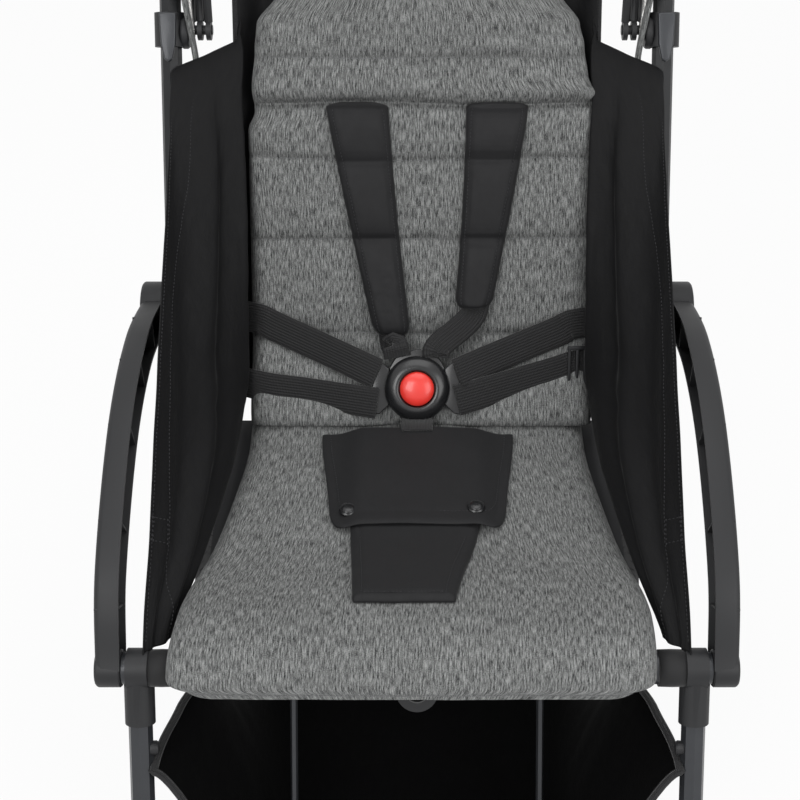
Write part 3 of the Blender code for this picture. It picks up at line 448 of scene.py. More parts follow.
def finish(piece, finish_name, body, replaced=(), angle=None):
    """Gives a piece its finish and its body, and hides the CAD nodes that it stands for."""
    piece.data.materials.clear()
    piece.data.materials.append(FINISH[finish_name])
    piece.data.shade_smooth()
    if angle:
        piece.data.set_sharp_from_angle(angle=math.radians(angle))
    if body:
        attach(piece, body)
    if replaced:
        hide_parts(*replaced)
    return piece


# Geometry Nodes


def new_tree(name, inputs):
    tree = bpy.data.node_groups.new(name, "GeometryNodeTree")
    tree.interface.new_socket("Geometry", in_out="INPUT", socket_type="NodeSocketGeometry")
    for label, kind in inputs:
        tree.interface.new_socket(label, in_out="INPUT", socket_type=kind)
    tree.interface.new_socket("Geometry", in_out="OUTPUT", socket_type="NodeSocketGeometry")
    return tree


def add_node(tree, kind, inputs=None, **settings):
    """A node with its settings, and its inputs set to values or linked to other nodes' sockets."""
    node = tree.nodes.new(kind)
    for key, value in settings.items():
        setattr(node, key, value)
    for key, value in (inputs or {}).items():
        if isinstance(value, bpy.types.NodeSocket):
            tree.links.new(value, node.inputs[key])
        else:
            node.inputs[key].default_value = value
    return node


def closed_tree(tree, instances, material):
    """The tree with its instances made real, given their material and put out."""
    real = add_node(tree, "GeometryNodeRealizeInstances", {"Geometry": instances.outputs[0]})
    painted = add_node(tree, "GeometryNodeSetMaterial", {"Geometry": real.outputs[0], "Material": material})
    add_node(tree, "NodeGroupOutput", {"Geometry": painted.outputs[0]})
    return tree


def run_tree(piece, tree, values):
    """Runs a tree on a piece with its inputs set by name, and keeps the result as a plain mesh."""
    change = piece.modifiers.new(tree.name, "NODES")
    change.node_group = tree
    for socket in tree.interface.items_tree:
        if socket.name in values:
            change[socket.identifier] = values[socket.name]
    return settled(piece)


def stitch_tree():
    """Small rounded stitches along each line, lying on the cloth's outward direction."""
    floats = [(label, "NodeSocketFloat") for label in ("Pitch", "Length", "Width")]
    tree = new_tree("stitches", floats + [("Material", "NodeSocketMaterial")])
    given = add_node(tree, "NodeGroupInput").outputs
    line = add_node(tree, "GeometryNodeMeshToCurve", {"Mesh": given["Geometry"]})
    even = add_node(tree, "GeometryNodeResampleCurve", {"Curve": line.outputs[0], "Length": given["Pitch"]},
                    mode="LENGTH")
    way = add_node(tree, "GeometryNodeInputTangent")
    lie = add_node(tree, "GeometryNodeInputNamedAttribute", {"Name": "lie"}, data_type="FLOAT_VECTOR")
    turn = add_node(tree, "FunctionNodeAlignRotationToVector", {"Vector": way.outputs[0]}, axis="X")
    flat = add_node(tree, "FunctionNodeAlignRotationToVector",
                    {"Rotation": turn.outputs[0], "Vector": lie.outputs[0]}, axis="Z", pivot_axis="X")
    size = add_node(tree, "ShaderNodeCombineXYZ", {"X": given["Length"], "Y": given["Width"],
                                                   "Z": given["Width"]})
    bead = add_node(tree, "GeometryNodeMeshIcoSphere", {"Radius": 0.5, "Subdivisions": 1})
    each = add_node(tree, "GeometryNodeInstanceOnPoints",
                    {"Points": even.outputs[0], "Instance": bead.outputs["Mesh"],
                     "Rotation": flat.outputs[0], "Scale": size.outputs[0]})
    return closed_tree(tree, each, given["Material"])


def round_tree():
    """Copies of a block set evenly round the X axis, each turned with its place."""
    tree = new_tree("blocks_round", [("Count", "NodeSocketInt"), ("Radius", "NodeSocketFloat"),
                                     ("Size", "NodeSocketVector"), ("Skew", "NodeSocketFloat"),
                                     ("Material", "NodeSocketMaterial")])
    given = add_node(tree, "NodeGroupInput").outputs
    ring = add_node(tree, "GeometryNodeMeshCircle", {"Vertices": given["Count"], "Radius": given["Radius"]})
    stand = add_node(tree, "GeometryNodeTransform",
                     {"Geometry": ring.outputs[0], "Rotation": (0, math.pi / 2, 0)})
    place = add_node(tree, "GeometryNodeInputPosition")
    out = add_node(tree, "FunctionNodeAlignRotationToVector", {"Vector": place.outputs[0]}, axis="Z")
    flat = add_node(tree, "FunctionNodeAlignRotationToVector",
                    {"Rotation": out.outputs[0], "Vector": (1, 0, 0)}, axis="X", pivot_axis="Z")
    skew = add_node(tree, "FunctionNodeAxisAngleToRotation", {"Axis": (0, 0, 1), "Angle": given["Skew"]})
    both = add_node(tree, "FunctionNodeRotateRotation",
                    {"Rotation": flat.outputs[0], "Rotate By": skew.outputs[0]}, rotation_space="LOCAL")
    block = add_node(tree, "GeometryNodeMeshCube", {"Size": given["Size"]})
    each = add_node(tree, "GeometryNodeInstanceOnPoints",
                    {"Points": stand.outputs[0], "Instance": block.outputs["Mesh"],
                     "Rotation": both.outputs[0]})
    return closed_tree(tree, each, given["Material"])


def sew(name, lines, body, thread="thread", pitch=None, blend=None):
    """Rows of stitches on one body: each line is a list of (point, outward direction)."""
    cloth = bpy.context.scene.stroller_cloth
    verts, edges, lies = [], [], []
    for line in lines:
        base = len(verts)
        verts += [tuple(point) for point, out in line]
        lies += [tuple(out) for point, out in line]
        edges += [(base + i, base + i + 1) for i in range(len(line) - 1)]
    piece = new_piece(name, verts, [], edges=edges)
    piece.data.attributes.new("lie", "FLOAT_VECTOR", "POINT").data.foreach_set(
        "vector", np.array(lies, np.float32).ravel())
    tree = bpy.data.node_groups.get("stitches") or stitch_tree()
    pitch = pitch or cloth.stitch_pitch
    run_tree(piece, tree, {"Pitch": pitch, "Length": pitch * 0.74, "Width": cloth.thread_width,
                           "Material": FINISH[thread]})
    piece.data.shade_smooth()
    if blend:
        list(blend[:2])
        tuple(blend[2])
        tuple(blend[3])
        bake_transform(piece)
    else:
        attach(piece, body)
    return piece


# Sizes and colours that a user would change


def colour_property(label, text, value):
    return bpy.props.FloatVectorProperty(name=label, description=text, subtype="COLOR", size=3,
                                         min=0, max=1, default=value)


def length_property(label, text, value, low=0.0, high=0.5):
    return bpy.props.FloatProperty(name=label, description=text, default=value, min=low, max=high,
                                   unit="LENGTH", precision=4)


class StrollerColours(bpy.types.PropertyGroup):
    melange_dark: colour_property("Melange dark", "Dark yarn of the grey cloth", (0.014, 0.0145, 0.015))
    melange_light: colour_property("Melange light", "Light yarn of the grey cloth", (0.30, 0.307, 0.302))
    black_cloth: colour_property("Black cloth", "Side panels, pads and basket", (0.0042, 0.0042, 0.0046))
    webbing: colour_property("Webbing", "Harness and loops", (0.0075, 0.0075, 0.008))
    paint: colour_property("Frame paint", "Powder coat on the tubes", (0.029, 0.031, 0.035))
    moulding: colour_property("Moulding", "Black plastic parts", (0.0125, 0.0128, 0.014))
    button_red: colour_property("Button", "Release button", (0.75, 0.035, 0.025))
    silver: colour_property("Lining", "Sun lining inside the hood", (0.52, 0.515, 0.5))


class StrollerCushions(bpy.types.PropertyGroup):
    thickness: length_property("Thickness", "Seat and backrest padding", 0.022)
    channel_depth: length_property("Channel depth", "How far the sewn channels sink in", 0.010)
    pucker: length_property("Pucker", "Height of the small folds beside a seam", 0.0011)


class StrollerCloth(bpy.types.PropertyGroup):
    thickness: length_property("Cloth thickness", "Side panels, basket and hood", 0.0009)
    fold_depth: length_property("Fold depth", "Depth of the side panels' loose folds", 0.010)
    stitch_pitch: length_property("Stitch pitch", "Distance from stitch to stitch", 0.0032)
    thread_width: length_property("Thread width", "Thickness of the sewing thread", 0.0009)


class StrollerHarness(bpy.types.PropertyGroup):
    web_width: length_property("Webbing width", "Waist straps", 0.0265)
    web_thickness: length_property("Webbing thickness", "All straps", 0.0015)
    buckle_radius: length_property("Buckle radius", "Round buckle housing", 0.0275)
    button_radius: length_property("Button radius", "Red release button", 0.0145)


class StrollerStage(bpy.types.PropertyGroup):
    lens: bpy.props.FloatProperty(name="Lens", description="Focal length on a 36 mm sensor",
                                  default=70.47, min=10, max=200, unit="CAMERA")
    pitch: bpy.props.FloatProperty(name="Pitch", description="How far the camera looks down",
                                   default=math.radians(40), subtype="ANGLE")
    soft_light: bpy.props.FloatProperty(name="Sky", description="Strength of the even light",
                                        default=0.52, min=0, max=2, subtype="FACTOR")


GROUPS = {
    "stroller_colours": StrollerColours,
    "stroller_cushions": StrollerCushions,
    "stroller_cloth": StrollerCloth,
    "stroller_harness": StrollerHarness,
    "stroller_stage": StrollerStage,
}


# Finishes


def grey(level):
    return (level, level, level, 1)


class Paint:
    """A material in the making: its tree, its shader and the coordinates that it reads."""

    def __init__(self, name, colour, roughness, metallic=0.0, coordinates="Object", **sockets):
        self.material = bpy.data.materials.new(name)
        self.material.use_nodes = True
        self.tree = self.material.node_tree
        self.shader = self.tree.nodes["Principled BSDF"]
        self.shader.inputs["Base Color"].default_value = (*colour, 1)
        self.shader.inputs["Roughness"].default_value = roughness
        self.shader.inputs["Metallic"].default_value = metallic
        for socket, value in sockets.items():
            self.shader.inputs[socket.replace("_", " ")].default_value = value
        self.place = self.add("ShaderNodeTexCoord").outputs[coordinates]
        FINISH[name] = self.material

    def add(self, kind, inputs=None, **settings):
        return add_node(self.tree, kind, inputs, **settings)

    def stretched(self, scale):
        return self.add("ShaderNodeMapping", {"Vector": self.place, "Scale": scale}).outputs[0]

    def noise(self, scale, detail=2.0, rough=0.5):
        """Noise of so many features a metre, along each axis."""
        scale = scale if isinstance(scale, tuple) else (scale,) * 3
        return self.add("ShaderNodeTexNoise", {"Vector": self.stretched(scale), "Scale": 1.0,
                                               "Detail": detail, "Roughness": rough}).outputs["Fac"]

    def wave(self, scale, direction, distortion=0.0):
        """Bands with so many a metre."""
        steps = 20 / (2 * math.pi)
        return self.add("ShaderNodeTexWave", {"Vector": self.stretched((1, 1, 1)), "Scale": scale / steps,
                                              "Distortion": distortion, "Detail": 1.0, "Detail Scale": 2.0},
                        bands_direction=direction).outputs["Fac"]

    def math(self, operation, a, b=0.5):
        return self.add("ShaderNodeMath", {0: a, 1: b}, operation=operation).outputs[0]

    def ramp(self, value, stops):
        node = self.add("ShaderNodeValToRGB", {"Fac": value})
        band = node.color_ramp
        band.elements[0].position, band.elements[0].color = stops[0][0], (*stops[0][1], 1)
        band.elements[1].position, band.elements[1].color = stops[-1][0], (*stops[-1][1], 1)
        for position, colour in stops[1:-1]:
            band.elements.new(position).color = (*colour, 1)
        return node.outputs["Color"]

    def spread(self, value, low, high):
        """A value from 0 to 1, moved to the range from low to high."""
        return self.add("ShaderNodeMapRange", {"Value": value, "To Min": low, "To Max": high}).outputs[0]

    def colour(self, colour, value, low, high):
        """The base colour: a plain colour or a socket, darkened or lightened as the value goes."""
        shade = self.add("ShaderNodeMix", {0: 1.0, 6: colour, 7: self.spread(value, low, high)},
                         data_type="RGBA", blend_type="MULTIPLY")
        self.tree.links.new(shade.outputs[2], self.shader.inputs["Base Color"])

    def roughness(self, value, low, high):
        self.tree.links.new(self.spread(value, low, high), self.shader.inputs["Roughness"])

    def bump(self, *layers):
        """Layers of (height value, distance in metres, strength), one on the other."""
        normal = None
        for height, distance, strength in layers:
            inputs = {"Height": height, "Distance": distance, "Strength": strength}
            if normal:
                inputs["Normal"] = normal
            normal = self.add("ShaderNodeBump", inputs).outputs[0]
        self.tree.links.new(normal, self.shader.inputs["Normal"])


def make_melange(name, dark, light):
    """Grey cloth of dark and light yarns that run along the piece, with slubs."""
    paint = Paint(name, light, 0.95, coordinates="UV", Sheen_Weight=0.05, Sheen_Roughness=0.6,
                  Specular_IOR_Level=0.25)
    slub = paint.noise((880, 105, 880), 3, 0.62)
    yarn = paint.noise((2300, 320, 2300), 2, 0.6)
    speck = paint.noise((1300, 1300, 1300), 2, 0.7)
    value = paint.math("ADD", paint.math("MULTIPLY", slub, 0.5), paint.math("MULTIPLY", yarn, 0.24))
    value = paint.math("ADD", value, paint.math("MULTIPLY", speck, 0.26))
    base = tuple(mix(a, b, 0.33) for a, b in zip(dark, light))
    pale = tuple(mix(a, b, 0.62) for a, b in zip(dark, light))
    shade = paint.ramp(value, [(0.4, dark), (0.48, base), (0.54, pale), (0.605, light)])
    cloud = paint.noise(16, 2, 0.5)
    paint.colour(shade, cloud, 0.84, 1.1)
    weave = paint.math("ADD", paint.wave(1050, "X", 0.4), paint.wave(1050, "Y", 0.4))
    paint.bump((cloud, 0.002, 0.12), (value, 0.0005, 0.35), (weave, 0.00012, 0.3))


def make_black_cloth(name, colour, shine=0.62, weave_pitch=900, crinkle=0.35, gleam=0.15):
    paint = Paint(name, colour, shine, coordinates="UV", Sheen_Weight=0.25 * gleam, Sheen_Roughness=0.4,
                  Specular_IOR_Level=gleam)
    warp, weft = paint.wave(weave_pitch, "X", 0.5), paint.wave(weave_pitch, "Y", 0.5)
    weave = paint.math("MULTIPLY", warp, weft)
    creases = paint.noise((38, 22, 38), 4, 0.62)
    fine = paint.noise((140, 70, 140), 3, 0.6)
    cloud = paint.noise(9, 3, 0.55)
    paint.colour((*colour, 1), cloud, 0.75, 1.35)
    paint.roughness(fine, shine - 0.08, shine + 0.12)
    paint.bump((creases, 0.004, crinkle), (fine, 0.0012, crinkle * 0.6), (weave, 0.00015, 0.35))


def make_webbing(name, colour):
    """Ribbed tape: ribs run along the strap and a fine herringbone crosses it."""
    paint = Paint(name, colour, 0.7, coordinates="UV", Sheen_Weight=0.18, Sheen_Roughness=0.4,
                  Specular_IOR_Level=0.35)
    ribs = paint.wave(420, "X")
    picks = paint.wave(760, "Y", 0.6)
    fine = paint.noise((500, 200, 500), 2, 0.6)
    paint.colour((*colour, 1), fine, 0.7, 1.6)
    paint.bump((ribs, 0.0006, 0.75), (picks, 0.0004, 0.75))


def make_moulding(name, colour, roughness, grain=1500, strength=0.25, **sockets):
    paint = Paint(name, colour, roughness, **sockets)
    skin = paint.noise(grain, 2, 0.6)
    scuff = paint.noise(42, 4, 0.65)
    paint.colour((*colour, 1), scuff, 0.85, 1.2)
    paint.roughness(scuff, roughness - 0.06, roughness + 0.1)
    paint.bump((skin, 0.00012, strength))


def make_lining(name, colour):
    """Coated satin that creases and shines in streaks."""
    paint = Paint(name, colour, 0.3, 0.75, coordinates="UV", Specular_IOR_Level=0.6)
    crease = paint.noise((55, 24, 55), 5, 0.66)
    streak = paint.noise((260, 40, 260), 3, 0.6)
    paint.colour((*colour, 1), streak, 0.75, 1.2)
    paint.roughness(streak, 0.24, 0.44)
    paint.bump((crease, 0.006, 0.6), (streak, 0.0006, 0.35))


def scaled(colour, share):
    return tuple(share * part for part in colour)


def make_finishes():
    tones = bpy.context.scene.stroller_colours
    black, paint, moulding = tuple(tones.black_cloth), tuple(tones.paint), tuple(tones.moulding)
    make_melange("melange", tuple(tones.melange_dark), tuple(tones.melange_light))
    make_black_cloth("black_cloth", black)
    make_black_cloth("pad_cloth", scaled(black, 1.9), 0.66, 1100, 0.16, 0.26)
    # Painted shade: the black cloth darkened to a quarter for the basket, standing in for the shade under the
    # seat
    make_black_cloth("shade_darkened_basket_cloth", scaled(black, 0.25), 0.8, 700, 0.3, 0.05)
    make_webbing("webbing", tuple(tones.webbing))
    make_webbing("binding", scaled(tones.webbing, 1.25))
    make_black_cloth("thread", scaled(black, 5), 0.6, 2000, 0.05, 0.26)
    make_black_cloth("grey_thread", (0.15, 0.152, 0.155), 0.6, 2000, 0.05)
    make_moulding("paint", paint, 0.36, 2600, 0.3, metallic=0.35, Coat_Weight=0.08)
    # Painted shade: the frame paint darkened to 0.3 for the handle tube, standing in for the shade it sits in
    make_moulding("shade_darkened_paint", scaled(paint, 0.3), 0.42, 2600, 0.3, Specular_IOR_Level=0.3)
    make_moulding("moulding", moulding, 0.5, Specular_IOR_Level=0.35)
    make_moulding("gloss_moulding", scaled(moulding, 0.7), 0.24, 900, 0.08)
    make_moulding("button", tuple(tones.button_red), 0.3, 700, 0.06, Coat_Weight=0.25,
                  Subsurface_Weight=0.05)
    make_moulding("steel", (0.46, 0.46, 0.47), 0.28, 1800, 0.12, metallic=1.0)
    make_moulding("foam", (0.012, 0.012, 0.0125), 0.88, 1100, 0.7)
    make_moulding("tyre", (0.014, 0.014, 0.0145), 0.78, 900, 0.5)
    make_lining("lining", tuple(tones.silver))


class STROLLER_OT_finishes(bpy.types.Operator):
    """Make the cloths, plastics, paints and metals that the pieces wear"""

    bl_idname = "stroller.make_finishes"
    bl_label = "Finishes"

    def execute(self, context):
        make_finishes()
        return {"FINISHED"}


# CAD nodes that stay as they are, by finish; {} stands for each side
RIGID_FINISH = {
    # The handle tube wears the frame paint darkened as painted shade
    "shade_darkened_paint": ("handle_tube",),
    "paint": ("rear_leg_{}", "rear_cross_tube", "seat_bar", "basket_hanger", "back_frame", "front_leg_{}",
              "brace_lower_{}", "brace_upper_{}"),
    "moulding": ("hood_clamp_{}", "hood_rib_rear", "hood_rib_front", "hood_rib_middle", "seat_panel",
                 "leg_connector_{}", "brake_pedal", "fold_pull", "caster_fork_{}", "front_{}_rim",
                 "rear_{}_rim"),
    "steel": ("rear_axle_rod",),
    "foam": ("handle_grip",),
    "tyre": ("front_{}_tyre", "rear_{}_tyre"),
}


def dress_node(name, finish_name):
    """A CAD node keeps its mesh: its loose triangles are welded and its round faces shaded smooth."""
    node = frame["nodes"][name]
    node.data.materials.clear()
    node.data.materials.append(FINISH[finish_name])
    node.data.shade_smooth()
    weld = node.modifiers.new("weld", "WELD")
    weld.merge_threshold = 1e-6
    split = node.modifiers.new("edges", "EDGE_SPLIT")
    split.split_angle = math.radians(38)


# Seat and backrest lines, as the frame has them

# The seat line's length, where on it the cushion starts, how far its front sits to the left, where its
# hem is and the share of its thickness that stays at the rim. Then the backrest's seams, how deep each
# sinks, which one is a loose crease, its top, and its outline on each side, as (height, half width).
SEAT_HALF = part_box("seat_pad")[1].x
BACK_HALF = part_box("back_pad")[1].x
SEAT_RUN = 0.36
SEAT_START = 0.085
SEAT_SHIFT = 0.0045
HEM_AT = 0.013
CORE = 0.36
PAD_REST = 0.0053
CHANNELS = (0.077, 0.159, 0.227, 0.272, 0.31)
CHANNEL_SINK = (0.8, 0.9, 0.8, 1.7, 0.75)
CREASE = 3
BACK_TOP = 0.474
LEFT_EDGE = ((0, 0.143), (0.25, 0.143), (0.264, 0.137), (0.285, 0.139), (0.315, 0.136), (0.336, 0.134),
             (0.362, 0.1165), (0.42, 0.111), (0.474, 0.108))
RIGHT_EDGE = ((0, 0.1500), (0.25, 0.1500), (0.264, 0.152), (0.28, 0.1525), (0.292, 0.144), (0.32, 0.1400),
              (0.336, 0.136), (0.362, 0.1195), (0.42, 0.114), (0.474, 0.110))


def seat_line(share):
    """The seat cushion's underside in the side view, from its front lip back to the hinge."""
    drop = BAR_R + 0.0003
    depth = HINGE.y - BAR.y
    line = [(0, -drop - 0.0015, -0.008), (0, -drop - 0.001, 0.004), (0, -0.006, drop + 0.0005),
            (0, 0.014, drop + 0.0005), (0, 0.05, 0.003), (0, depth - 0.195, -0.0108),
            (0, depth - 0.115, -0.012), (0, depth - 0.05, -0.012), (0, depth - 0.02, -0.012)]
    spot, way = along_points(line, share)
    return BAR + spot, way


def seat_half(share):
    return mix(SEAT_HALF, BACK_HALF, smooth_step((share - 0.4) / 0.45))


def seat_point(x, share, lift):
    spot, way = seat_line(share)
    return at_x(spot + X_AXIS.cross(way) * lift, x)


def back_point(x, along, out):
    return HINGE + BACK_DIR * along + BACK_OUT * out + X_AXIS * x


# Two points on the backrest's middle line, at the hinge and 0.09 up from it, both 0.03 out
BEND_START, BEND_END = back_point(0, 0, 0.03), back_point(0, 0.09, 0.03)


def rim_round(distance, reach):
    """How full a pad is at some distance from its edge: 0 at the edge, 1 past the reach."""
    near = min(1.0, max(0.0, distance / reach))
    return math.sqrt(max(0.0, 1 - (1 - near) ** 2))


def between(table, value):
    """A smooth reading of a short table of (value, result) pairs."""
    for (a, first), (b, second) in zip(table, table[1:]):
        if value <= b:
            return mix(first, second, smooth_step((value - a) / (b - a)))
    return table[-1][1]


def across_pad(u):
    """A pad's columns from -1 to 1, closer together towards its sides."""
    return mix(2 * u - 1, math.sin((u - 0.5) * math.pi), 0.6)


def cushion_half(share):
    """Half the seat cushion's width, narrower at its front lip."""
    return seat_half(share) - 0.02 * (1 - smooth_step(share / 0.08))


def seat_lift(x, share):
    """The seat cushion's face above its underside."""
    thick = bpy.context.scene.stroller_cushions.thickness
    half = cushion_half(share)
    run = share * SEAT_RUN
    edge = min(rim_round(half - abs(x), 0.019), 1)
    ends = rim_round(run, 0.014) * rim_round(SEAT_RUN - run, 0.012)
    crown = 0.14 * math.sin(math.pi * share) * (1 - (x / half) ** 2)
    wavy = 0.0011 * ripple(x * 16, share * 5, 3) + 0.0006 * ripple(x * 42, share * 14, 7)
    hem = 0.0022 * math.exp(-(((run - HEM_AT) / 0.002) ** 2))
    crease = 0.0016 * ripple(x * 26, share * 30, 5) * smooth_step((share - 0.78) / 0.12)
    side = 0.0014 * ripple(share * 60, x * 12, 11) * (1 - smooth_step((half - abs(x)) / 0.04))
    full = thick * (1 + crown) + wavy + crease + side - hem
    core = CORE * thick
    return core + (full - core) * edge * ends, core * (1 - edge * ends)


def make_seat_cushion():
    def place(u, v, w):
        x = across_pad(u) * cushion_half(v)
        face, under = seat_lift(x, v)
        shift = -SEAT_SHIFT * (1 - smooth_step(v / 0.7))
        return seat_point(x + shift, mix(SEAT_START, 1, v), 0.0006 + (face if w else under))

    across, along = 84, 112
    pad = pad_grid("seat_cushion", across, along, place)
    inflate(pad, rim_grip(across, along), pressure=2.5, slack=0.016, cap=0.0025)
    finer(pad)
    finish(pad, "melange", "front_frame", ("seat_pad",))
    return pad


def back_edge(x, along):
    return between(RIGHT_EDGE if x > 0 else LEFT_EDGE, along)


def seam_lean(x, index):
    """How far a seam leaves its straight line."""
    return 0.0035 * ripple(x * 9, index * 5.3, 2)


def back_face(x, along):
    """How far the backrest cushion's face stands out from the wire frame's plane."""
    cushions = bpy.context.scene.stroller_cushions
    full = PAD_REST + cushions.thickness + 0.033 * (1 - smooth_step(along / 0.088))
    edge = back_edge(x, along)
    full += 0.0035 * (1 - (x / edge) ** 2)
    full += 0.0011 * ripple(x * 14, along * 13, 1) + 0.0006 * ripple(x * 37, along * 30, 9)
    for index, (seam, sink) in enumerate(zip(CHANNELS, CHANNEL_SINK)):
        off = along - seam - seam_lean(x, index)
        width = 0.0048 if off > 0 and index == CREASE else 0.0085
        dip = math.exp(-abs(off / width) ** 1.15) + 0.55 * math.exp(-((off / 0.0022) ** 2))
        full -= cushions.channel_depth * 0.5 * sink * dip
        crimp = ripple(x * 95, index * 3.1, 4) + 0.6 * ripple(x * 210, index * 7.7, 5)
        full += cushions.pucker * sink * crimp * math.exp(-((off / 0.013) ** 2)) * (1 - 0.7 * dip)
    bulge = math.exp(-(((along - 0.283) / 0.009) ** 2))
    full += 0.0034 * bulge + 0.0016 * bulge * ripple(x * 30, 0, 6)
    behind = 0.0505 - (along - BUCKLE_ALONG) * math.tan(BUCKLE_TILT - BACK_LEAN)
    away = math.hypot(x, along - BUCKLE_ALONG)
    return full - max(0, full - behind) * (1 - smooth_step((away - 0.034) / 0.03))


def make_back_cushion():
    across, along = 88, 150

    def rows(v):
        """Rows stand closer together beside the seams."""
        spot = v * BACK_TOP
        for seam in CHANNELS:
            spot += 0.0035 * math.sin(math.pi * min(1, max(-1, (seam - v * BACK_TOP) / 0.022)))
        return spot

    def place(u, v, w):
        wide = across_pad(u)
        high = rows(v)
        half = back_edge(wide, high) - 0.012 * (1 - rim_round(BACK_TOP - high, 0.03))
        x = wide * half
        fade = rim_round(half - abs(x), 0.017) * rim_round(BACK_TOP - high, 0.018)
        fade *= mix(0.55, 1, rim_round(high, 0.014))
        low = mix(0.0330, PAD_REST, smooth_step(high / 0.07))
        tall = high + 0.0150 * (1 - smooth_step(high / 0.05)) * (1 - w)
        face = back_face(x, high)
        core = low + 0.34 * (face - low)
        out = core + (face - core) * fade if w else low + (core - low) * (1 - fade)
        return back_point(x, tall, out)

    def seam_at(v):
        held = max(math.exp(-(((rows(v) - seam) / 0.0035) ** 2)) for seam in CHANNELS)
        return held if held > 0.15 else 0

    pad = pad_grid("back_cushion", across, along, place)
    inflate(pad, rim_grip(across, along, seam_at), pressure=3.0, slack=0.02, cap=0.0028)
    finer(pad)
    finish(pad, "melange", None, ("back_pad",))
    return pad


def seam_line(tree, start, end, steps, place, out, lift=0.0003):
    """Points of a stitch row laid on a surface between two values of a place function."""
    line = []
    for step in range(steps + 1):
        spot = place(mix(start, end, step / steps))
        line.append((dropped(tree, spot, out) + out * lift, out))
    return line


def sew_cushions(seat, back):
    on_back, on_seat = surface_of(back), surface_of(seat)
    rows = []
    for index, seam in enumerate(CHANNELS):
        if index == CREASE:
            continue
        low, high = -back_edge(-1, seam) + 0.007, back_edge(1, seam) - 0.007
        rows.append(seam_line(on_back, low, high, 90,
                              lambda x: back_point(x, seam + seam_lean(x, index), 0), BACK_OUT))
    for left, right in ((-0.0725, -0.0215), (0.0395, 0.0975)):
        rows.append(seam_line(on_back, left, right, 24, lambda x: back_point(x, 0.3155, 0), BACK_OUT))
    sew("back_seam_stitches", rows, None, "grey_thread", 0.0036,
        ("front_frame", "backrest", BEND_START, BEND_END))
    share = mix(SEAT_START, 1, HEM_AT / SEAT_RUN)
    out = X_AXIS.cross(seat_line(share)[1])
    half = seat_half(share) - 0.019
    hem = seam_line(on_seat, -half - SEAT_SHIFT, half - SEAT_SHIFT, 110,
                    lambda x: seat_point(x, share, 0.02), out)
    sew("seat_hem_stitches", [hem], "front_frame", "grey_thread", 0.0036)


class STROLLER_OT_cushions(bpy.types.Operator):
    """Make the quilted seat and backrest cushions, with their seams"""

    bl_idname = "stroller.make_cushions"
    bl_label = "Cushions"

    def execute(self, context):
        seat = make_seat_cushion()
        back = make_back_cushion()
        sew_cushions(seat, back)
        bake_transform(back)
        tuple(BEND_START)
        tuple(BEND_END)
        return {"FINISHED"}


# Frame


class STROLLER_OT_frame(bpy.types.Operator):
    """Give the rigid frame parts their finishes"""

    bl_idname = "stroller.dress_frame"
    bl_label = "Frame finishes"

    def execute(self, context):
        for finish_name, names in RIGID_FINISH.items():
            for name in dict.fromkeys(name.format(side) for name in names for side in ("left", "right")):
                dress_node(name, finish_name)
        return {"FINISHED"}


# Stage

# The camera's place in front of and above the seat bar, and its shift, fitted to the photo
CAMERA_AHEAD, CAMERA_UP, CAMERA_SHIFT = 0.7545, 0.89, -0.02125


def area_light(name, place, aim, size, power):
    light = bpy.data.lights.new(name, "AREA")
    light.shape = "RECTANGLE"
    light.size, light.size_y = size
    light.energy = power
    lamp = placed(name, light)
    lamp.location = place
    lamp.rotation_euler = (Vector(aim) - Vector(place)).to_track_quat("-Z", "Y").to_euler()


def seen_rays(tree):
    """1 for rays from the camera and for what mirrors or lets the background through."""
    path = add_node(tree, "ShaderNodeLightPath").outputs
    both = add_node(tree, "ShaderNodeMath", {0: path["Is Camera Ray"], 1: path["Is Glossy Ray"]},
                    operation="MAXIMUM")
    return add_node(tree, "ShaderNodeMath", {0: both.outputs[0], 1: path["Is Transmission Ray"]},
                    operation="MAXIMUM").outputs[0]


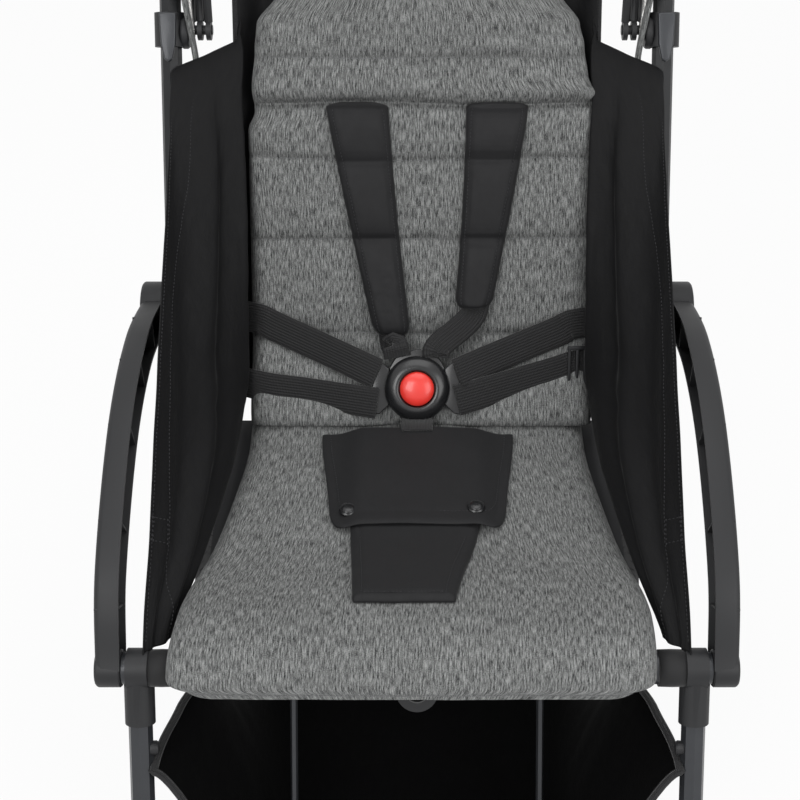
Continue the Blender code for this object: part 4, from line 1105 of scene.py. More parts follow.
class STROLLER_OT_stage(bpy.types.Operator):
    """Set the pale floor, the soft light and the camera at the photo's angle"""

    bl_idname = "stroller.make_stage"
    bl_label = "Stage"

    def execute(self, context):
        rules = context.scene.stroller_stage
        floor = new_piece("floor", [(-6, -6, 0), (6, -6, 0), (6, 6, 0), (-6, 6, 0)], [(0, 1, 2, 3)])
        material = bpy.data.materials.new("floor")
        material.use_nodes = True
        tree = material.node_tree
        shader = tree.nodes["Principled BSDF"]
        shader.inputs["Base Color"].default_value = grey(0.86)
        shader.inputs["Roughness"].default_value = 0.9
        glow = add_node(tree, "ShaderNodeEmission", {"Color": grey(1.0), "Strength": 1.0})
        share = add_node(tree, "ShaderNodeMath", {0: seen_rays(tree), 1: 0.9}, operation="MULTIPLY")
        both = add_node(tree, "ShaderNodeMixShader", {0: share.outputs[0], 1: shader.outputs[0],
                                                      2: glow.outputs[0]})
        tree.links.new(both.outputs[0], tree.nodes["Material Output"].inputs["Surface"])
        floor.data.materials.append(material)

        world = bpy.data.worlds.new("studio")
        context.scene.world = world
        world.use_nodes = True
        tree = world.node_tree
        back = tree.nodes["Background"]
        back.inputs["Color"].default_value = grey(1.0)
        level = add_node(tree, "ShaderNodeMapRange", {"Value": seen_rays(tree), "To Min": rules.soft_light,
                                                      "To Max": 1.0})
        tree.links.new(level.outputs[0], back.inputs["Strength"])

        area_light("key light", (-1.3, -2.3, 2.6), (0, 0, 0.5), (1.6, 1.6), 46)
        area_light("fill light", (1.9, -1.8, 1.9), (0, 0, 0.5), (1.8, 1.8), 30)
        area_light("top light", (0.1, 0.3, 3.0), (0, 0, 0.4), (2.2, 2.2), 26)
        context.scene.view_settings.view_transform = "Standard"

        lens = bpy.data.cameras.new("camera")
        lens.lens = rules.lens
        lens.shift_x = CAMERA_SHIFT
        camera = placed("camera", lens)
        camera.rotation_euler = (math.pi / 2 - rules.pitch, 0, 0)
        camera.location = (0, BAR.y - CAMERA_AHEAD, BAR.z + CAMERA_UP)
        context.scene.camera = camera
        return {"FINISHED"}


# Cloth helpers


def cut_size(grid, across):
    """The widest row, longest column and area of an open cloth grid, before it gets its thickness."""
    co = [Vector(point) for point in points_of(grid.data)]
    row = across + 1
    rows = [co[start:start + row] for start in range(0, len(co), row)]
    wide = max(distances(line)[-1] for line in rows)
    long = max(distances([line[i] for line in rows])[-1] for i in range(row))
    area = sum(face.area for face in grid.data.polygons)
    return wide, long, min(area, wide * long)


def cloth_piece(name, across, along, place, thick, finish_name, body, replaced=()):
    """A piece of cloth with its wall, and the size that it had before that."""
    piece = cloth_grid(name, across, along, place)
    size = cut_size(piece, across)
    finer(piece)
    walled(piece, thick)
    return finish(piece, finish_name, body, replaced), size


def as_sheet(piece, size):
    wide, long, area = size


def strap(name, points, outs, width, count=36):
    """A webbing strap along a smooth line, its face turned to the directions given at the points."""
    thick = bpy.context.scene.stroller_harness.web_thickness
    line = smooth_line(points, count)
    last = len(outs) - 1
    faces = []
    for index in range(count):
        place = min(last - 1e-6, index / (count - 1) * last)
        low = int(place)
        faces.append(outs[low].lerp(outs[low + 1], place - low).normalized())
    return sweep(name, line, faces, web_section(width, thick))


# Side panels


PANEL_LOW = BAR + Vector((0, -0.0005, BAR_R + 0.0035))
PANEL_HIGH = CLAMP - HANDLE_DIR * 0.03 + Vector((0, -0.012, 0))
# The hem's width, and the crossed box sewn on it: depths in from the edge, shares of the panel's
# height, and about how deep the panel is there. Then the backrest cover's top and half width.
HEM_WIDTH = 0.0185
HEM_BOX_DEPTHS = (0.003, 0.016)
HEM_BOX_HEIGHTS = (0.178, 0.214)
HEM_BOX_RUN = 0.3
SHELL_TOP = 0.452
SHELL_HALF = 0.1525


def panel_point(u, v):
    """A point of the right side panel, u from the front hem in and v from the bar up."""
    cloth = bpy.context.scene.stroller_cloth
    hem = PANEL_LOW.lerp(PANEL_HIGH, v)
    corner = HINGE + Vector((0, -0.005, 0.012))
    if v < 0.5:
        inner = (BAR + Vector((0, 0.03, 0.004))).lerp(corner, smooth_step(v * 2))
    else:
        inner = corner.lerp(back_point(0, 0.352, 0.0), smooth_step(v * 2 - 1))
    spot = hem.lerp(inner, u)
    deep = (spot - hem).length
    outer = mix(0.1985, 0.2035, v)
    near = mix(0.1845, 0.1555, smooth_step(v * 2.6))
    x = mix(outer, near, smooth_step(u * mix(1.35, 1.7, v)))
    x -= 0.006 * smooth_step(deep / 0.02) * smooth_step((v - 0.86) / 0.1)
    loose = math.sin(math.pi * min(1, u * 1.02)) ** 0.8 * math.sin(math.pi * mix(0.04, 0.97, v)) ** 0.6
    turn = u * 3.1 + 0.9 * v + 0.35 * ripple(u * 2.2, v * 3.1, 8)
    folds = 0.5 - 0.5 * math.cos(2 * math.pi * turn)
    pleat = math.exp(-(((u - mix(0.8, 0.55, v)) / 0.035) ** 2)) * smooth_step((v - 0.3) / 0.3)
    x -= loose * (cloth.fold_depth * folds + 0.006 * pleat)
    x -= 0.0022 * ripple(u * 7, v * 9, 4) * loose + 0.0009 * ripple(u * 19, v * 30, 6) * loose
    x -= 0.0016 * ripple(0.3, v * 9, 2) * (1 - smooth_step(deep / 0.05))
    x += 0.0007 * (1 - smooth_step((deep - HEM_WIDTH) / 0.002))
    return at_x(spot, x)


def make_side_panel(side, sign):
    inward = Vector((-sign, -0.15, 0)).normalized()

    def inside(u, v, lift=0.0007):
        spot = panel_point(u, v)
        return at_x(spot, sign * spot.x) + inward * lift

    panel, size = cloth_piece(f"panel_{side}", 56, 100, lambda u, v: inside(u ** 1.25, v, 0),
                              bpy.context.scene.stroller_cloth.thickness, "black_cloth", "front_frame",
                              (f"side_panel_{side}",))

    def wide(v):
        return (panel_point(1, v) - panel_point(0, v)).length

    def up_hem(deep, low, high, steps):
        heights = [mix(low, high, step / steps) for step in range(steps + 1)]
        return [(inside(deep / wide(v), v), inward) for v in heights]

    def across_hem(v, start, end):
        return [(inside(mix(start, end, step / 8) / wide(v), v), inward) for step in range(9)]

    def slanted(start, end):
        return [(start.lerp(end, step / 8) + inward * 0.0009, inward) for step in range(9)]

    near, far = HEM_BOX_DEPTHS
    low, high = HEM_BOX_HEIGHTS
    lines = [up_hem(HEM_WIDTH, 0.02, 0.985, 200), up_hem(0.0025, 0.02, 0.985, 200),
             up_hem(near, low, high, 8), up_hem(far, low, high, 8),
             across_hem(low, near, far), across_hem(high, near, far),
             slanted(inside(near / HEM_BOX_RUN, low, 0), inside(far / HEM_BOX_RUN, high, 0)),
             slanted(inside(far / HEM_BOX_RUN, low, 0), inside(near / HEM_BOX_RUN, high, 0))]
    rows = sew(f"panel_stitches_{side}", lines, "front_frame")
    for piece in (panel, rows):
        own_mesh(piece)
    as_sheet(panel, size)


def make_back_shell():
    """The black cloth cover behind the backrest's wire frame, its sides drawn forward."""
    def place(u, v):
        high = mix(0.016, SHELL_TOP, v)
        half = SHELL_HALF - 0.03 * (1 - rim_round(SHELL_TOP - high, 0.05))
        x = (2 * u - 1) * half
        out = -0.0082 + 0.012 * smooth_step((abs(2 * u - 1) - 0.86) / 0.14)
        out += 0.0014 * ripple(x * 12, high * 9, 3) - 0.0022 * math.cos(x * 14) * math.sin(math.pi * v)
        return back_point(x, high, out)

    shell, size = cloth_piece("back_shell", 60, 70, place, 0.0012, "black_cloth", "backrest")
    rims = []
    for sign in (-1, 1):
        edge = [back_point(sign * SHELL_HALF, high / 100, 0.0042) for high in range(2, 41)]
        rims.append(sweep(f"shell_rim_{sign}", edge, [BACK_OUT] * len(edge), round_section(0.0022, 10, 0.8)))
    rim = finish(merged("back_shell_piping", rims), "binding", "backrest")
    as_sheet(shell, size)


def make_bar_loops():
    section = [(BAR_R + 0.0003, -0.0108), (BAR_R + 0.0018, -0.0104), (BAR_R + 0.0021, 0),
               (BAR_R + 0.0018, 0.0104), (BAR_R + 0.0003, 0.0108)]
    for side, sign in SIDES:
        loop = turned(f"loop_{side}", section, at_x(BAR, sign * 0.1872), X_AXIS, 48, True)
        finish(loop, "webbing", "front_frame", (f"bar_loop_{side}",))


class STROLLER_OT_panels(bpy.types.Operator):
    """Hang the black side panels and the backrest's cover, with hems and stitches"""

    bl_idname = "stroller.make_panels"
    bl_label = "Side panels"

    def execute(self, context):
        for side, sign in SIDES:
            make_side_panel(side, sign)
        make_back_shell()
        make_bar_loops()
        return {"FINISHED"}


# Harness

# Left and right: shoulder pad's top place across, its low place across and its low end's height
SHOULDERS = {"left": (-0.0505, -0.0205, 0.076), "right": (0.0675, 0.0475, 0.1)}
HARNESS_START = BUCKLE + BUCKLE_UP * 0.0256
HARNESS_END = back_point(0, 0.272, 0.03)
# The pads' top end, their width at the low and the top end, and how far in their seam runs
SHOULDER_TOP = 0.2735
SHOULDER_WIDTHS = (0.0315, 0.0530)
SHOULDER_SEAM = 0.0048


def make_shoulder(side, sign, tree):
    top_x, low_x, low_along = SHOULDERS[side]
    across, along = 22, 80

    def rest(x, high):
        on = (dropped(tree, back_point(x, high, 0), BACK_OUT) - HINGE).dot(BACK_OUT)
        return on + 0.0012 + 0.006 * smooth_step((0.17 - high) / 0.09)

    def run(v):
        return mix(low_x, top_x, v), mix(low_along, SHOULDER_TOP, v)

    def half_at(v, reach):
        return mix(*SHOULDER_WIDTHS, v ** 1.1) / 2 * (0.45 + 0.55 * rim_round(0.5 - abs(v - 0.5), reach))

    middle_rest = [rest(*run(step / 40)) for step in range(41)]

    def place(u, v, w):
        centre, high = run(v)
        centre += sign * 0.0015 * math.sin(math.pi * v)
        half = half_at(v, 0.07 if v < 0.5 else 0.02)
        x = centre + half * math.sin((u - 0.5) * math.pi)
        index = min(39, int(v * 40))
        base = mix(middle_rest[index], middle_rest[index + 1], v * 40 - index)
        edge = half - abs(x - centre)
        fade = rim_round(edge, 0.010) * rim_round(0.5 - abs(v - 0.5), 0.03)
        groove = 0.0008 * math.exp(-(((edge - SHOULDER_SEAM) / 0.0011) ** 2))
        thick = 0.0022 + 0.0078 * fade - groove + 0.0007 * ripple(x * 40, high * 40, 5)
        curve = -0.0015 * ((x - centre) / half) ** 2
        return back_point(x, high, base + curve + thick * w)

    pad = pad_grid(f"shoulder_cover_{side}", across, along, place)
    sewn = [1.0 if index >= (across + 1) * (along + 1) else 0.3 for index in range(len(pad.data.vertices))]
    inflate(pad, sewn, pressure=2.0, slack=0.01, frames=10, cap=0.0012)
    finer(pad)
    finish(pad, "pad_cloth", None, (f"shoulder_pad_{side}",))
    on_pad = surface_of(pad)
    rims = []
    for end_sign in (-1, 1):
        line = []
        for step in range(61):
            v = mix(0.035, 0.965, step / 60)
            centre, high = run(v)
            spot = back_point(centre + end_sign * (half_at(v, 0.05) - SHOULDER_SEAM), high, 0)
            line.append((dropped(on_pad, spot, BACK_OUT) + BACK_OUT * 0.0002, BACK_OUT))
        rims.append(line)
    sew(f"shoulder_stitches_{side}", rims, None, "thread", 0.003,
        ("front_frame", "backrest", HARNESS_START, HARNESS_END))
    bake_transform(pad)

    low_rest = middle_rest[0] + 0.0012
    start = back_point(low_x + (top_x - low_x) * 0.12, low_along + 0.025, low_rest + 0.001)
    web_points = [start, back_point(low_x, low_along - 0.004, low_rest + 0.002),
                  BUCKLE + X_AXIS * sign * 0.0185 + BUCKLE_UP * 0.036 + BUCKLE_OUT * 0.001,
                  BUCKLE + X_AXIS * sign * 0.0165 + BUCKLE_UP * 0.027 - BUCKLE_OUT * 0.001]
    web = strap(f"shoulder_web_{side}", web_points, [BACK_OUT, BACK_OUT, BUCKLE_OUT, BUCKLE_OUT], 0.0225)
    finish(web, "webbing", None, (f"shoulder_strap_{side}",))
    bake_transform(web)


# Height and place across of each waist strap's outer end, and its height at the buckle
WAISTS = (("upper", "left", -0.1455, 0.090, 0.0125), ("lower", "left", -0.1455, 0.036, -0.0125),
          ("upper", "right", 0.160, 0.086, 0.0125), ("lower", "right", 0.160, 0.052, -0.0100))


def make_waist(level, side, far_x, along, up, tree):
    harness = bpy.context.scene.stroller_harness
    sign = -1 if side == "left" else 1

    def on_pad(x, high, lift):
        spot = dropped(tree, back_point(x, high, 0), BACK_OUT)
        return spot + BACK_OUT * lift

    near = BUCKLE + X_AXIS * sign * 0.0335 + BUCKLE_UP * up + BUCKLE_OUT * 0.0016
    high_near = (near - HINGE).dot(BACK_DIR)
    lay = 0.0030 if level == "upper" else 0.0012
    points, outs = [near], [BUCKLE_OUT]
    for share in (0.3, 0.6, 0.86):
        x = mix(near.x, sign * 0.136, share)
        high = mix(high_near, along, share)
        on = on_pad(x, high, lay)
        lifted = near.lerp(on_pad(sign * 0.136, along, lay), share)
        gap = max(0, (lifted - on).dot(BACK_OUT))
        points.append(on + BACK_OUT * gap * 0.8)
        outs.append(BACK_OUT)
    edge = on_pad(sign * 0.134, along, lay)
    points.append(edge)
    outs.append((BACK_OUT + X_AXIS * sign * 0.25).normalized())
    points.append(back_point(far_x + sign * 0.004, along + 0.001, (edge - HINGE).dot(BACK_OUT) - 0.012))
    outs.append((BACK_OUT * 0.35 + X_AXIS * sign).normalized())
    web = strap(f"waist_web_{level}_{side}", points, outs, harness.web_width, 56)
    finish(web, "webbing", None, (f"waist_strap_{level}_{side}",))
    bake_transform(web)
    if side == "right" and level == "lower":
        make_ladder_lock(edge)


def make_ladder_lock(edge):
    """The sliding adjuster on the right lower waist strap."""
    out = (BACK_OUT + X_AXIS * 0.25).normalized()
    side = BACK_DIR
    up = out.cross(side)
    bars = []
    for offset in (-0.007, 0.0, 0.007):
        centre = edge + X_AXIS * 0.002 + up * offset + out * 0.003
        bars.append(plate(f"lock_bar_{offset}", slab(0.0165, -0.0012, 0.0012), centre, side, up, 0.0022,
                          0.0005))
    for offset in (-0.0158, 0.0158):
        centre = edge + X_AXIS * 0.002 + side * offset + out * 0.003
        bars.append(plate(f"lock_rail_{offset}", slab(0.0016, -0.0085, 0.0085), centre, side, up, 0.003,
                          0.0006))
    lock = merged("ladder_lock", bars)
    finish(lock, "moulding", None)
    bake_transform(lock)


def make_buckle():
    rules = bpy.context.scene.stroller_harness
    radius, button = rules.buckle_radius, rules.button_radius
    profile = [(0, -0.0076), (radius - 0.0022, -0.0076), (radius - 0.0006, -0.0066), (radius, -0.0048),
               (radius, 0.0012), (radius - 0.0008, 0.0034), (radius - 0.0032, 0.0056),
               (radius - 0.0066, 0.0074), (button + 0.0042, 0.0082), (button + 0.0026, 0.0083),
               (button + 0.0014, 0.0078), (button + 0.0008, 0.0066), (button + 0.0006, -0.0029), (0, -0.0029)]
    disc = turned("buckle_disc", profile, BUCKLE, BUCKLE_OUT, 96)
    shoulders = [(-0.0245, -0.004), (-0.0235, 0.0175), (-0.0185, 0.0262), (-0.0062, 0.0318), (0.0022, 0.0335),
                 (0.0080, 0.0312), (0.0185, 0.0262), (0.0235, 0.0175), (0.0245, -0.004), (0.0125, -0.0285),
                 (-0.0125, -0.0285)]
    back = plate("buckle_back", shoulders, BUCKLE - BUCKLE_OUT * 0.0053, X_AXIS, BUCKLE_UP, 0.0044, 0.0012)
    finish(merged("buckle_body", [disc, back]), "gloss_moulding", "front_frame",
           ("buckle_housing",), angle=35)
    dome = [(0, 0.0002), (button, 0.0002), (button, 0.0058), (button - 0.0004, 0.0068),
            (button - 0.0016, 0.0078), (button * 0.72, 0.0092), (button * 0.45, 0.0101),
            (button * 0.2, 0.0105), (0, 0.0106)]
    red = turned("release_button", dome, BUCKLE, BUCKLE_OUT, 80)
    finish(red, "button", "buckle_button", ("buckle_button",), angle=50)
    outline = [(0.0235, -0.0135), (0.0315, -0.0215), (0.0365, -0.0225), (0.0385, -0.0205),
               (0.0385, 0.0205), (0.0365, 0.0235), (0.0315, 0.0235), (0.0235, 0.0165)]
    for side, sign in SIDES:
        tongue = plate(f"tongue_{side}", [(sign * a, b) for a, b in outline][::sign],
                       BUCKLE - BUCKLE_OUT * 0.0024, X_AXIS, BUCKLE_UP, 0.0030, 0.0009)
        finish(tongue, "gloss_moulding", "front_frame", (f"buckle_tongue_{side}",), angle=40)


# Shares of the seat line that the crotch pad, its flap and their seams cover, then the flap's length
# and how far in its seam runs
CROTCH_RUN, CROTCH_SEAM_RUN = (0.418, 0.842), (0.438, 0.842)
FLAP_RUN, FLAP_SEAM_RUN = (0.650, 0.846), (0.674, 0.846)
FLAP_LENGTH = 0.068
FLAP_SEAM = 0.0072


def over_seat(tree, x, share, lift=0.0):
    """A point on a surface along the seat, or above it, and the direction out of the seat there."""
    spot, way = seat_line(share)
    out = X_AXIS.cross(way)
    return dropped(tree, at_x(spot + out * 0.02, x), out) + out * lift, out


def make_crotch(seat_tree):
    def half_at(v):
        return mix(0.0385, 0.0545, smooth_step(v * 1.25))

    def centre_at(v):
        return -0.0105 * (1 - smooth_step(v * 1.2)) + 0.001

    def body(u, v, w):
        share = mix(*CROTCH_RUN, v)
        half = half_at(v) * (0.94 + 0.06 * rim_round(v, 0.05))
        x = half * math.sin((u - 0.5) * math.pi)
        edge = min(half - abs(x), v * 0.14)
        fade = rim_round(edge, 0.012)
        groove = 0.0007 * math.exp(-(((edge - 0.0075) / 0.0011) ** 2))
        thick = 0.0024 + 0.0048 * fade - groove + 0.0007 * ripple(x * 34, v * 5, 3)
        return over_seat(seat_tree, x + centre_at(v), share, 0.0007 + thick * w)[0]

    pad = pad_grid("crotch_body", 40, 60, body)
    finer(pad)
    finish(pad, "pad_cloth", "front_frame", ("crotch_pad",))

    def flap_half(v):
        return mix(0.0700, 0.0805, smooth_step(v)) - 0.012 * (1 - rim_round(v * FLAP_LENGTH, 0.013))

    def flap(u, v, w):
        share = mix(*FLAP_RUN, v)
        half = flap_half(v)
        x = half * math.sin((u - 0.5) * math.pi)
        off = abs(x - 0.001) - 0.044
        lift = mix(0.0096, 0.0022, smooth_step(off / 0.026))
        sag = 0.0008 * ripple(x * 30, v * 3, 9)
        edge = min(half - abs(x), v * FLAP_LENGTH)
        groove = 0.0006 * math.exp(-(((edge - FLAP_SEAM) / 0.0012) ** 2))
        thick = 0.0014 + 0.0012 * rim_round(edge, 0.004) - groove
        return over_seat(seat_tree, x + 0.0005, share, lift + sag + thick * w)[0]

    cover = pad_grid("crotch_cover", 48, 34, flap)
    finer(cover)
    finish(cover, "pad_cloth", "front_frame", ("crotch_flap",))
    on_cover, on_body = surface_of(cover), surface_of(pad)

    def ring(tree, share_of, half_of, centre, top):
        line = []
        for side in (-1, 1):
            run = [step / 40 for step in range(41)]
            for v in (run[::-1] if side < 0 else run):
                x = centre(v * top) + side * (half_of(v * top) - FLAP_SEAM)
                line.append(over_seat(tree, x, share_of(v * top), 0.0003))
        return line

    rings = [ring(on_cover, lambda v: mix(*FLAP_SEAM_RUN, v), flap_half, lambda v: 0.0005, 0.97),
             ring(on_body, lambda v: mix(*CROTCH_SEAM_RUN, v), half_at, centre_at, 0.46)]
    sew("crotch_stitches", rings, "front_frame", "thread", 0.003)
    snaps = []
    profile = [(0, -0.0008), (0.0070, -0.0008), (0.0072, 0.0006), (0.0063, 0.0017), (0.0052, 0.0016),
               (0.0046, 0.0023), (0.0028, 0.0029), (0, 0.0031)]
    for x in (-0.0550, 0.0470):
        place, out = over_seat(on_cover, x, 0.680)
        snaps.append(turned(f"snap_{x}", profile, place, out, 40))
    finish(merged("flap_snaps", snaps), "gloss_moulding", "front_frame", angle=40)
    start, lead = over_seat(on_cover, BAR.x, 0.832, 0.0004)
    tip = BUCKLE - BUCKLE_UP * 0.0245 - BUCKLE_OUT * 0.003
    web = strap("crotch_web", [start, start.lerp(tip, 0.5) + BUCKLE_OUT * 0.002, tip],
                [lead, BUCKLE_OUT, BUCKLE_OUT], 0.0262, 14)
    finish(web, "webbing", "front_frame", ("crotch_strap",))


class STROLLER_OT_harness(bpy.types.Operator):
    """Make the five-point harness: shoulder covers, webbing, buckle and crotch pad"""

    bl_idname = "stroller.make_harness"
    bl_label = "Harness"

    def execute(self, context):
        back = surface_of(bpy.data.objects["back_cushion"])
        for side, sign in SIDES:
            make_shoulder(side, sign, back)
        for row in WAISTS:
            make_waist(*row, back)
        make_buckle()
        make_crotch(surface_of(bpy.data.objects["seat_cushion"]))
        return {"FINISHED"}


# Arms


def arm_line(share):
    """The arm's middle line in the side view, from the seat bar up to the hub."""
    line = [BAR, BAR + Vector((0, 0.045, 0.055)), BAR + Vector((0, 0.145, 0.101)),
            BAR + Vector((0, 0.24, 0.108)), HUB]
    return along_points(line, share)


def make_arm_shell(side, sign):
    """An open channel that faces inwards, wide in the middle, with cross ribs and a boss at each end."""
    wall, width, steps = 0.0022, ARM_WIDTH, 12

    def channel(share):
        half = 0.014 * (1 + 0.12 * math.sin(math.pi * share))
        outer, inner = [], []
        for step in range(steps + 1):
            turn = math.pi * step / steps
            across = math.copysign(abs(math.cos(turn)) ** 0.42, math.cos(turn))
            reach = math.sin(turn) ** 0.42
            deep = 0.34 + 0.66 * reach if 0 < step < steps else 0
            outer.append((across * half, width * deep))
            inner.append((across * (half - wall), (width - wall) * deep))
        return outer + inner[::-1]

    count = 90
    line = [at_x(arm_line(index / (count - 1))[0], sign * (OUTER_HALF - width)) for index in range(count)]
    pieces = [sweep(f"arm_channel_{side}", line, [X_AXIS * sign] * count, channel)]
    for number in range(5):
        spot, way = arm_line((number + 1) / 6)
        up = X_AXIS.cross(way).normalized()
        centre = at_x(spot, sign * (OUTER_HALF - width / 2 - 0.0005))
        pieces.append(plate(f"arm_web_{side}_{number}", slab(0.0142, -0.0078, 0.0088), centre, up,
                            X_AXIS * sign, 0.0018, 0.0004))
    for place, radius in ((BAR, BAR_R + 0.0022), (HUB, 0.024)):
        face = at_x(place, sign * (OUTER_HALF - width))
        profile = [(0.0058, 0.0002), (radius - 0.001, 0.0002), (radius, 0.0012), (radius, width - 0.0022),
                   (radius - 0.0005, width - 0.001), (radius - 0.0016, width), (radius * 0.76, width),
                   (radius * 0.73, width - 0.0007), (radius * 0.66, width - 0.0007), (radius * 0.63, width),
                   (0.0064, width), (0.0058, width - 0.0006)]
        pieces.append(turned(f"arm_end_{side}_{radius:.3f}", profile, face, X_AXIS * sign, 72, True))
        cap = [(0, width - 0.006), (0.0056, width - 0.006), (0.0056, width - 0.0014),
               (0.0046, width - 0.0006), (0, width - 0.0002)]
        pieces.append(turned(f"arm_cap_{side}_{radius:.3f}", cap, face, X_AXIS * sign, 40))
    finish(merged(f"arm_shell_{side}", pieces), "moulding", "front_frame",
           (f"side_arm_{side}",), angle=42)


class STROLLER_OT_arms(bpy.types.Operator):
    """Make the two curved side arms and the small catches on the legs"""

    bl_idname = "stroller.make_arms"
    bl_label = "Side arms"

    def execute(self, context):
        profile = [(0, -0.0015), (0.0052, -0.0015), (0.0055, 0.0025), (0.0042, 0.0044), (0.0022, 0.0048),
                   (0, 0.0049)]
        for side, sign in SIDES:
            make_arm_shell(side, sign)
            down = (LEG_FOOT - at_x(BAR, LEG_FOOT.x)).normalized()
            place = at_x(BAR + at_x(down, 0) * 0.062, sign * (LEG_X - 0.0086))
            catch = turned(f"leg_catch_{side}", profile, place, X_AXIS * -sign, 32)
            finish(catch, "moulding", "front_frame", angle=40)
        return {"FINISHED"}


# Basket


def closer_at_ends(share):
    """Evenly spaced shares, moved closer together towards both ends."""
    return 0.5 + 0.5 * math.sin((share - 0.5) * math.pi)


def basket_point(u, v):
    """A point of the basket's cloth, u from left to right and v from front to rear."""
    half_base = 0.17
    rim = mix(0.38, 0.236, smooth_step((v - 0.25) / 0.7))
    side = smooth_step((abs(2 * u - 1) - 0.7) / 0.3)
    front = smooth_step((0.16 - v) / 0.16)
    rear = smooth_step((v - 0.86) / 0.14)
    rise = max(side * (rim - 0.212), front * 0.03, rear * 0.024)
    lean = rise / 0.168
    y = BAR.y + mix(mix(-0.083, -0.045, lean), 0.215, v)
    flare = (LEG_X - 0.0096 - half_base) * (1 - smooth_step(v / 0.45))
    half = mix(half_base - 0.012, half_base + flare, side)
    loose = math.sin(math.pi * min(1, max(0, v))) * math.sin(math.pi * u)
    wavy = (0.0022 * ripple(u * 6, v * 5, 1) + 0.001 * ripple(u * 17, v * 13, 2)) * loose
    side_wave = 0.003 * ripple(v * 8, rise * 30, 5) * side * math.sin(math.pi * v)
    x = (2 * u - 1) * (half - abs(side_wave))
    return Vector((x, y, 0.2132 + rise + max(wavy, -0.0012)))


def make_basket():
    # The basket wears the black cloth darkened as painted shade for the dark under the seat
    cloth, size = cloth_piece("basket_tub", 84, 56, lambda u, v: basket_point(closer_at_ends(u), v), 0.0014,
                              "shade_darkened_basket_cloth", "front_frame", ("basket",))
    loop = [basket_point(0, step / 50) for step in range(51)]
    loop += [basket_point(closer_at_ends(step / 60), 1) for step in range(1, 60)]
    loop += [basket_point(1, 1 - step / 50) for step in range(51)]
    loop += [basket_point(1 - closer_at_ends(step / 60), 0) for step in range(1, 60)]
    rim = sweep("basket_rim", loop, [Z_AXIS] * len(loop), round_section(0.0034, 10, 0.62), True)
    finish(rim, "binding", "front_frame")
    bands = []
    for side, sign in SIDES:
        low = Vector((sign * 0.157, BAR.y + 0.2095, 0.2275))
        high = Vector((low.x, low.y, HINGE.z - 0.0024))
        points = [low, low.lerp(high, 0.5) + Vector((0, 0.002, 0)), high]
        bands.append(strap(f"basket_strap_{side}", points, [Vector((0, 1, 0))] * 3, 0.016, 20))
    straps = finish(merged("basket_straps", bands), "webbing", "front_frame")
    as_sheet(cloth, size)


class STROLLER_OT_basket(bpy.types.Operator):
    """Hang the shopping basket with its bound rim and straps"""

    bl_idname = "stroller.make_basket"
    bl_label = "Basket"

    def execute(self, context):
        make_basket()
        return {"FINISHED"}


# Hood


RIB_ANGLES = (math.radians(50), math.radians(66), math.radians(82))
HOOD_HALF = 0.1889
HOOD_REACH = 0.25
# The reach of the point that the folded cloth bulges away from
HOOD_CENTRE = 0.11


def hoop_line(half, reach, radius, count):
    """A rib's outline from the left foot over the top to the right foot, evenly spaced: (x, reach)."""
    corners = [Vector((x, y, 0)) for x, y in ((-half, 0), (-half, reach), (half, reach), (half, 0))]
    path = rounded_path(corners, radius, 24)
    run = distances(path)
    line, at = [], 0
    for step in range(count):
        want = run[-1] * step / (count - 1)
        while at < len(run) - 2 and run[at + 1] < want:
            at += 1
        line.append(path[at].lerp(path[at + 1], (want - run[at]) / (run[at + 1] - run[at])))
    return line


def rib_way(angle):
    return Vector((0, math.cos(angle), math.sin(angle)))


def hood_point(spot, v, lift):
    """A point of the folded hood: spot on the hoop, v from rear rib to front edge, and a lift outwards."""
    out = rib_way(mix(RIB_ANGLES[0], RIB_ANGLES[2] + 0.09, v))
    free = 0.5 - 0.5 * math.cos(4 * math.pi * min(1, v * 1.08))
    away = Vector((spot.x, max(0, spot.y - HOOD_CENTRE), 0)).normalized()
    slack = 0.010 * free * smooth_step(spot.y / 0.1) + 0.002 * ripple(spot.x * 18, spot.y * 18, v * 4)
    place = spot + away * (0.0062 + lift - slack)
    foot = 1 - smooth_step(spot.y / 0.06)
    reach = place.y + foot * mix(0.026, -0.024, v)
    inward = foot * mix(0.004, 0.0105, v)
    x = place.x - math.copysign(inward, place.x)
    forward = Vector((0, -0.0125 * v * foot, 0))
    return CLAMP + X_AXIS * x + out * reach + forward


def make_hood():
    cloth = bpy.context.scene.stroller_cloth
    across = 110
    hoop = hoop_line(HOOD_HALF + 0.0006, HOOD_REACH, 0.14, across + 1)

    def layer(name, lift, finish_name, thick, replaced=()):
        sheet, size = cloth_piece(name, across, 40,
                                  lambda u, v: hood_point(hoop[round(u * across)], v, lift),
                                  thick, finish_name, None, replaced)
        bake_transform(sheet)
        return sheet, size

    outer, outer_size = layer("hood_cover", 0.0008, "melange", cloth.thickness, ("hood_fabric",))
    inner, inner_size = layer("hood_lining", -0.0012, "lining", 0.0005)
    for name, v, radius, finish_name in (("hood_front_binding", 1.0, 0.0062, "melange"),
                                         ("hood_front_piping", 1.035, 0.0016, "binding"),
                                         ("hood_rear_binding", 0.0, 0.0032, "melange")):
        line = [hood_point(spot, v, -0.0002) for spot in hoop]
        outs = [(hood_point(spot, v, 0.004) - hood_point(spot, v, 0)).normalized() for spot in hoop]
        trim = sweep(name, line, outs, round_section(radius, 12, 0.4 if radius > 0.002 else 1))
        finish(trim, finish_name, None)
        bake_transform(trim)
    as_sheet(outer, outer_size)
    as_sheet(inner, inner_size)


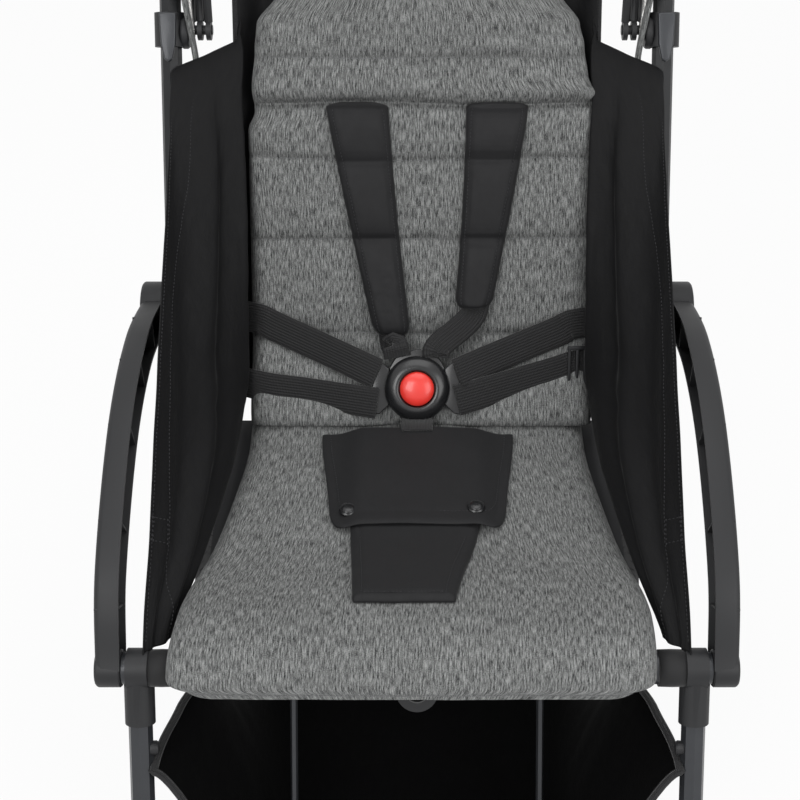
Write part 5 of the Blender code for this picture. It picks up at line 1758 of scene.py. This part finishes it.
class STROLLER_OT_hood(bpy.types.Operator):
    """Make the folded sun hood with its silver lining and bound edges"""

    bl_idname = "stroller.make_hood"
    bl_label = "Hood"

    def execute(self, context):
        make_hood()
        ahead = X_AXIS.cross(HANDLE_DIR)
        profile = [(0, 0), (0.0128, 0), (0.0135, 0.0012), (0.0135, 0.0046), (0.0122, 0.0062),
                   (0.0046, 0.0066), (0.0046, 0.0052), (0, 0.0052)]
        outline = [(-0.0072, 0.013), (0.0072, 0.013), (0.0062, -0.012), (0.0036, -0.0245), (0, -0.0275),
                   (-0.0036, -0.0245), (-0.0062, -0.012)]
        for side, sign in SIDES:
            place = at_x(CLAMP - HANDLE_DIR * 0.002, sign * (HANDLE_X - 0.0095))
            knob = turned(f"hood_knob_{side}", profile, place, X_AXIS * -sign, 56)
            finish(knob, "moulding", "handle_frame", angle=40)
            lever = plate(f"hood_lever_{side}", outline, at_x(CLAMP, sign * HANDLE_X) + ahead * 0.0165,
                          X_AXIS, HANDLE_DIR, 0.0045, 0.0014)
            finish(lever, "paint", "handle_frame", angle=40)
        return {"FINISHED"}


# Wheels

# A tread block's size, how far each row stands from the tyre's middle, and how deep the blocks sit
TREAD_BLOCK = (0.0072, 0.0026, 0.0026)
TREAD_OFF = 0.0046
TREAD_SINK = 0.0009


class STROLLER_OT_wheels(bpy.types.Operator):
    """Set tread blocks round the tyres and caps on the hubs"""

    bl_idname = "stroller.make_wheels"
    bl_label = "Wheels"

    def execute(self, context):
        tree = round_tree()
        profile = [(0, 0), (0.0105, 0), (0.011, 0.0008), (0.0095, 0.0026), (0.005, 0.0034), (0, 0.0036)]
        for end, count in (("front", 54), ("rear", 58)):
            for side, sign in SIDES:
                centre = joint_place(f"{end}_wheel_spin_{side}")
                low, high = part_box(f"{end}_{side}_tyre")
                radius = (high.z - low.z) / 2
                for row, skew in ((-1, 0.5), (1, -0.5)):
                    block = new_piece(f"{end}_{side}_tread_{row}", [(0, 0, 0)], [])
                    run_tree(block, tree, {"Count": count, "Radius": radius - TREAD_SINK, "Skew": skew,
                                           "Size": TREAD_BLOCK, "Material": FINISH["tyre"]})
                    for vert in block.data.vertices:
                        vert.co += at_x(centre, centre.x + row * TREAD_OFF)
                    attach(block, f"{end}_wheel_{side}")
                face = at_x(centre, high.x if sign > 0 else low.x) - X_AXIS * sign * 0.0038
                cap = turned(f"{end}_{side}_cap", profile, face, X_AXIS * sign, 40)
                finish(cap, "gloss_moulding", f"{end}_wheel_{side}", angle=40)
        return {"FINISHED"}


# Registration

PIECE_OPERATORS = (STROLLER_OT_finishes, STROLLER_OT_frame, STROLLER_OT_cushions, STROLLER_OT_panels,
                   STROLLER_OT_harness, STROLLER_OT_arms, STROLLER_OT_basket, STROLLER_OT_hood,
                   STROLLER_OT_wheels)


class STROLLER_PT_panel(bpy.types.Panel):
    """Sizes, colours and steps of the stroller"""

    bl_idname = "STROLLER_PT_panel"
    bl_label = "Stroller"
    bl_space_type = "VIEW_3D"
    bl_region_type = "UI"
    bl_category = "Stroller"

    def draw(self, context):
        for group in GROUPS:
            box = self.layout.box()
            box.label(text=group.removeprefix("stroller_").capitalize())
            for name in getattr(context.scene, group).__annotations__:
                box.prop(getattr(context.scene, group), name)
        for operator in (*PIECE_OPERATORS, STROLLER_OT_stage):
            self.layout.operator(operator.bl_idname)


CLASSES = (*GROUPS.values(), *PIECE_OPERATORS, STROLLER_OT_stage, STROLLER_PT_panel)


def register():
    for kind in CLASSES:
        bpy.utils.register_class(kind)
    for name, group in GROUPS.items():
        setattr(bpy.types.Scene, name, bpy.props.PointerProperty(type=group))


def unregister():
    for name in GROUPS:
        delattr(bpy.types.Scene, name)
    for kind in reversed(CLASSES):
        bpy.utils.unregister_class(kind)


def main():
    register()
    for operator in (*PIECE_OPERATORS, STROLLER_OT_stage):
        group, name = operator.bl_idname.split(".")
        getattr(getattr(bpy.ops, group), name)()


if __name__ == "__main__":
    main()
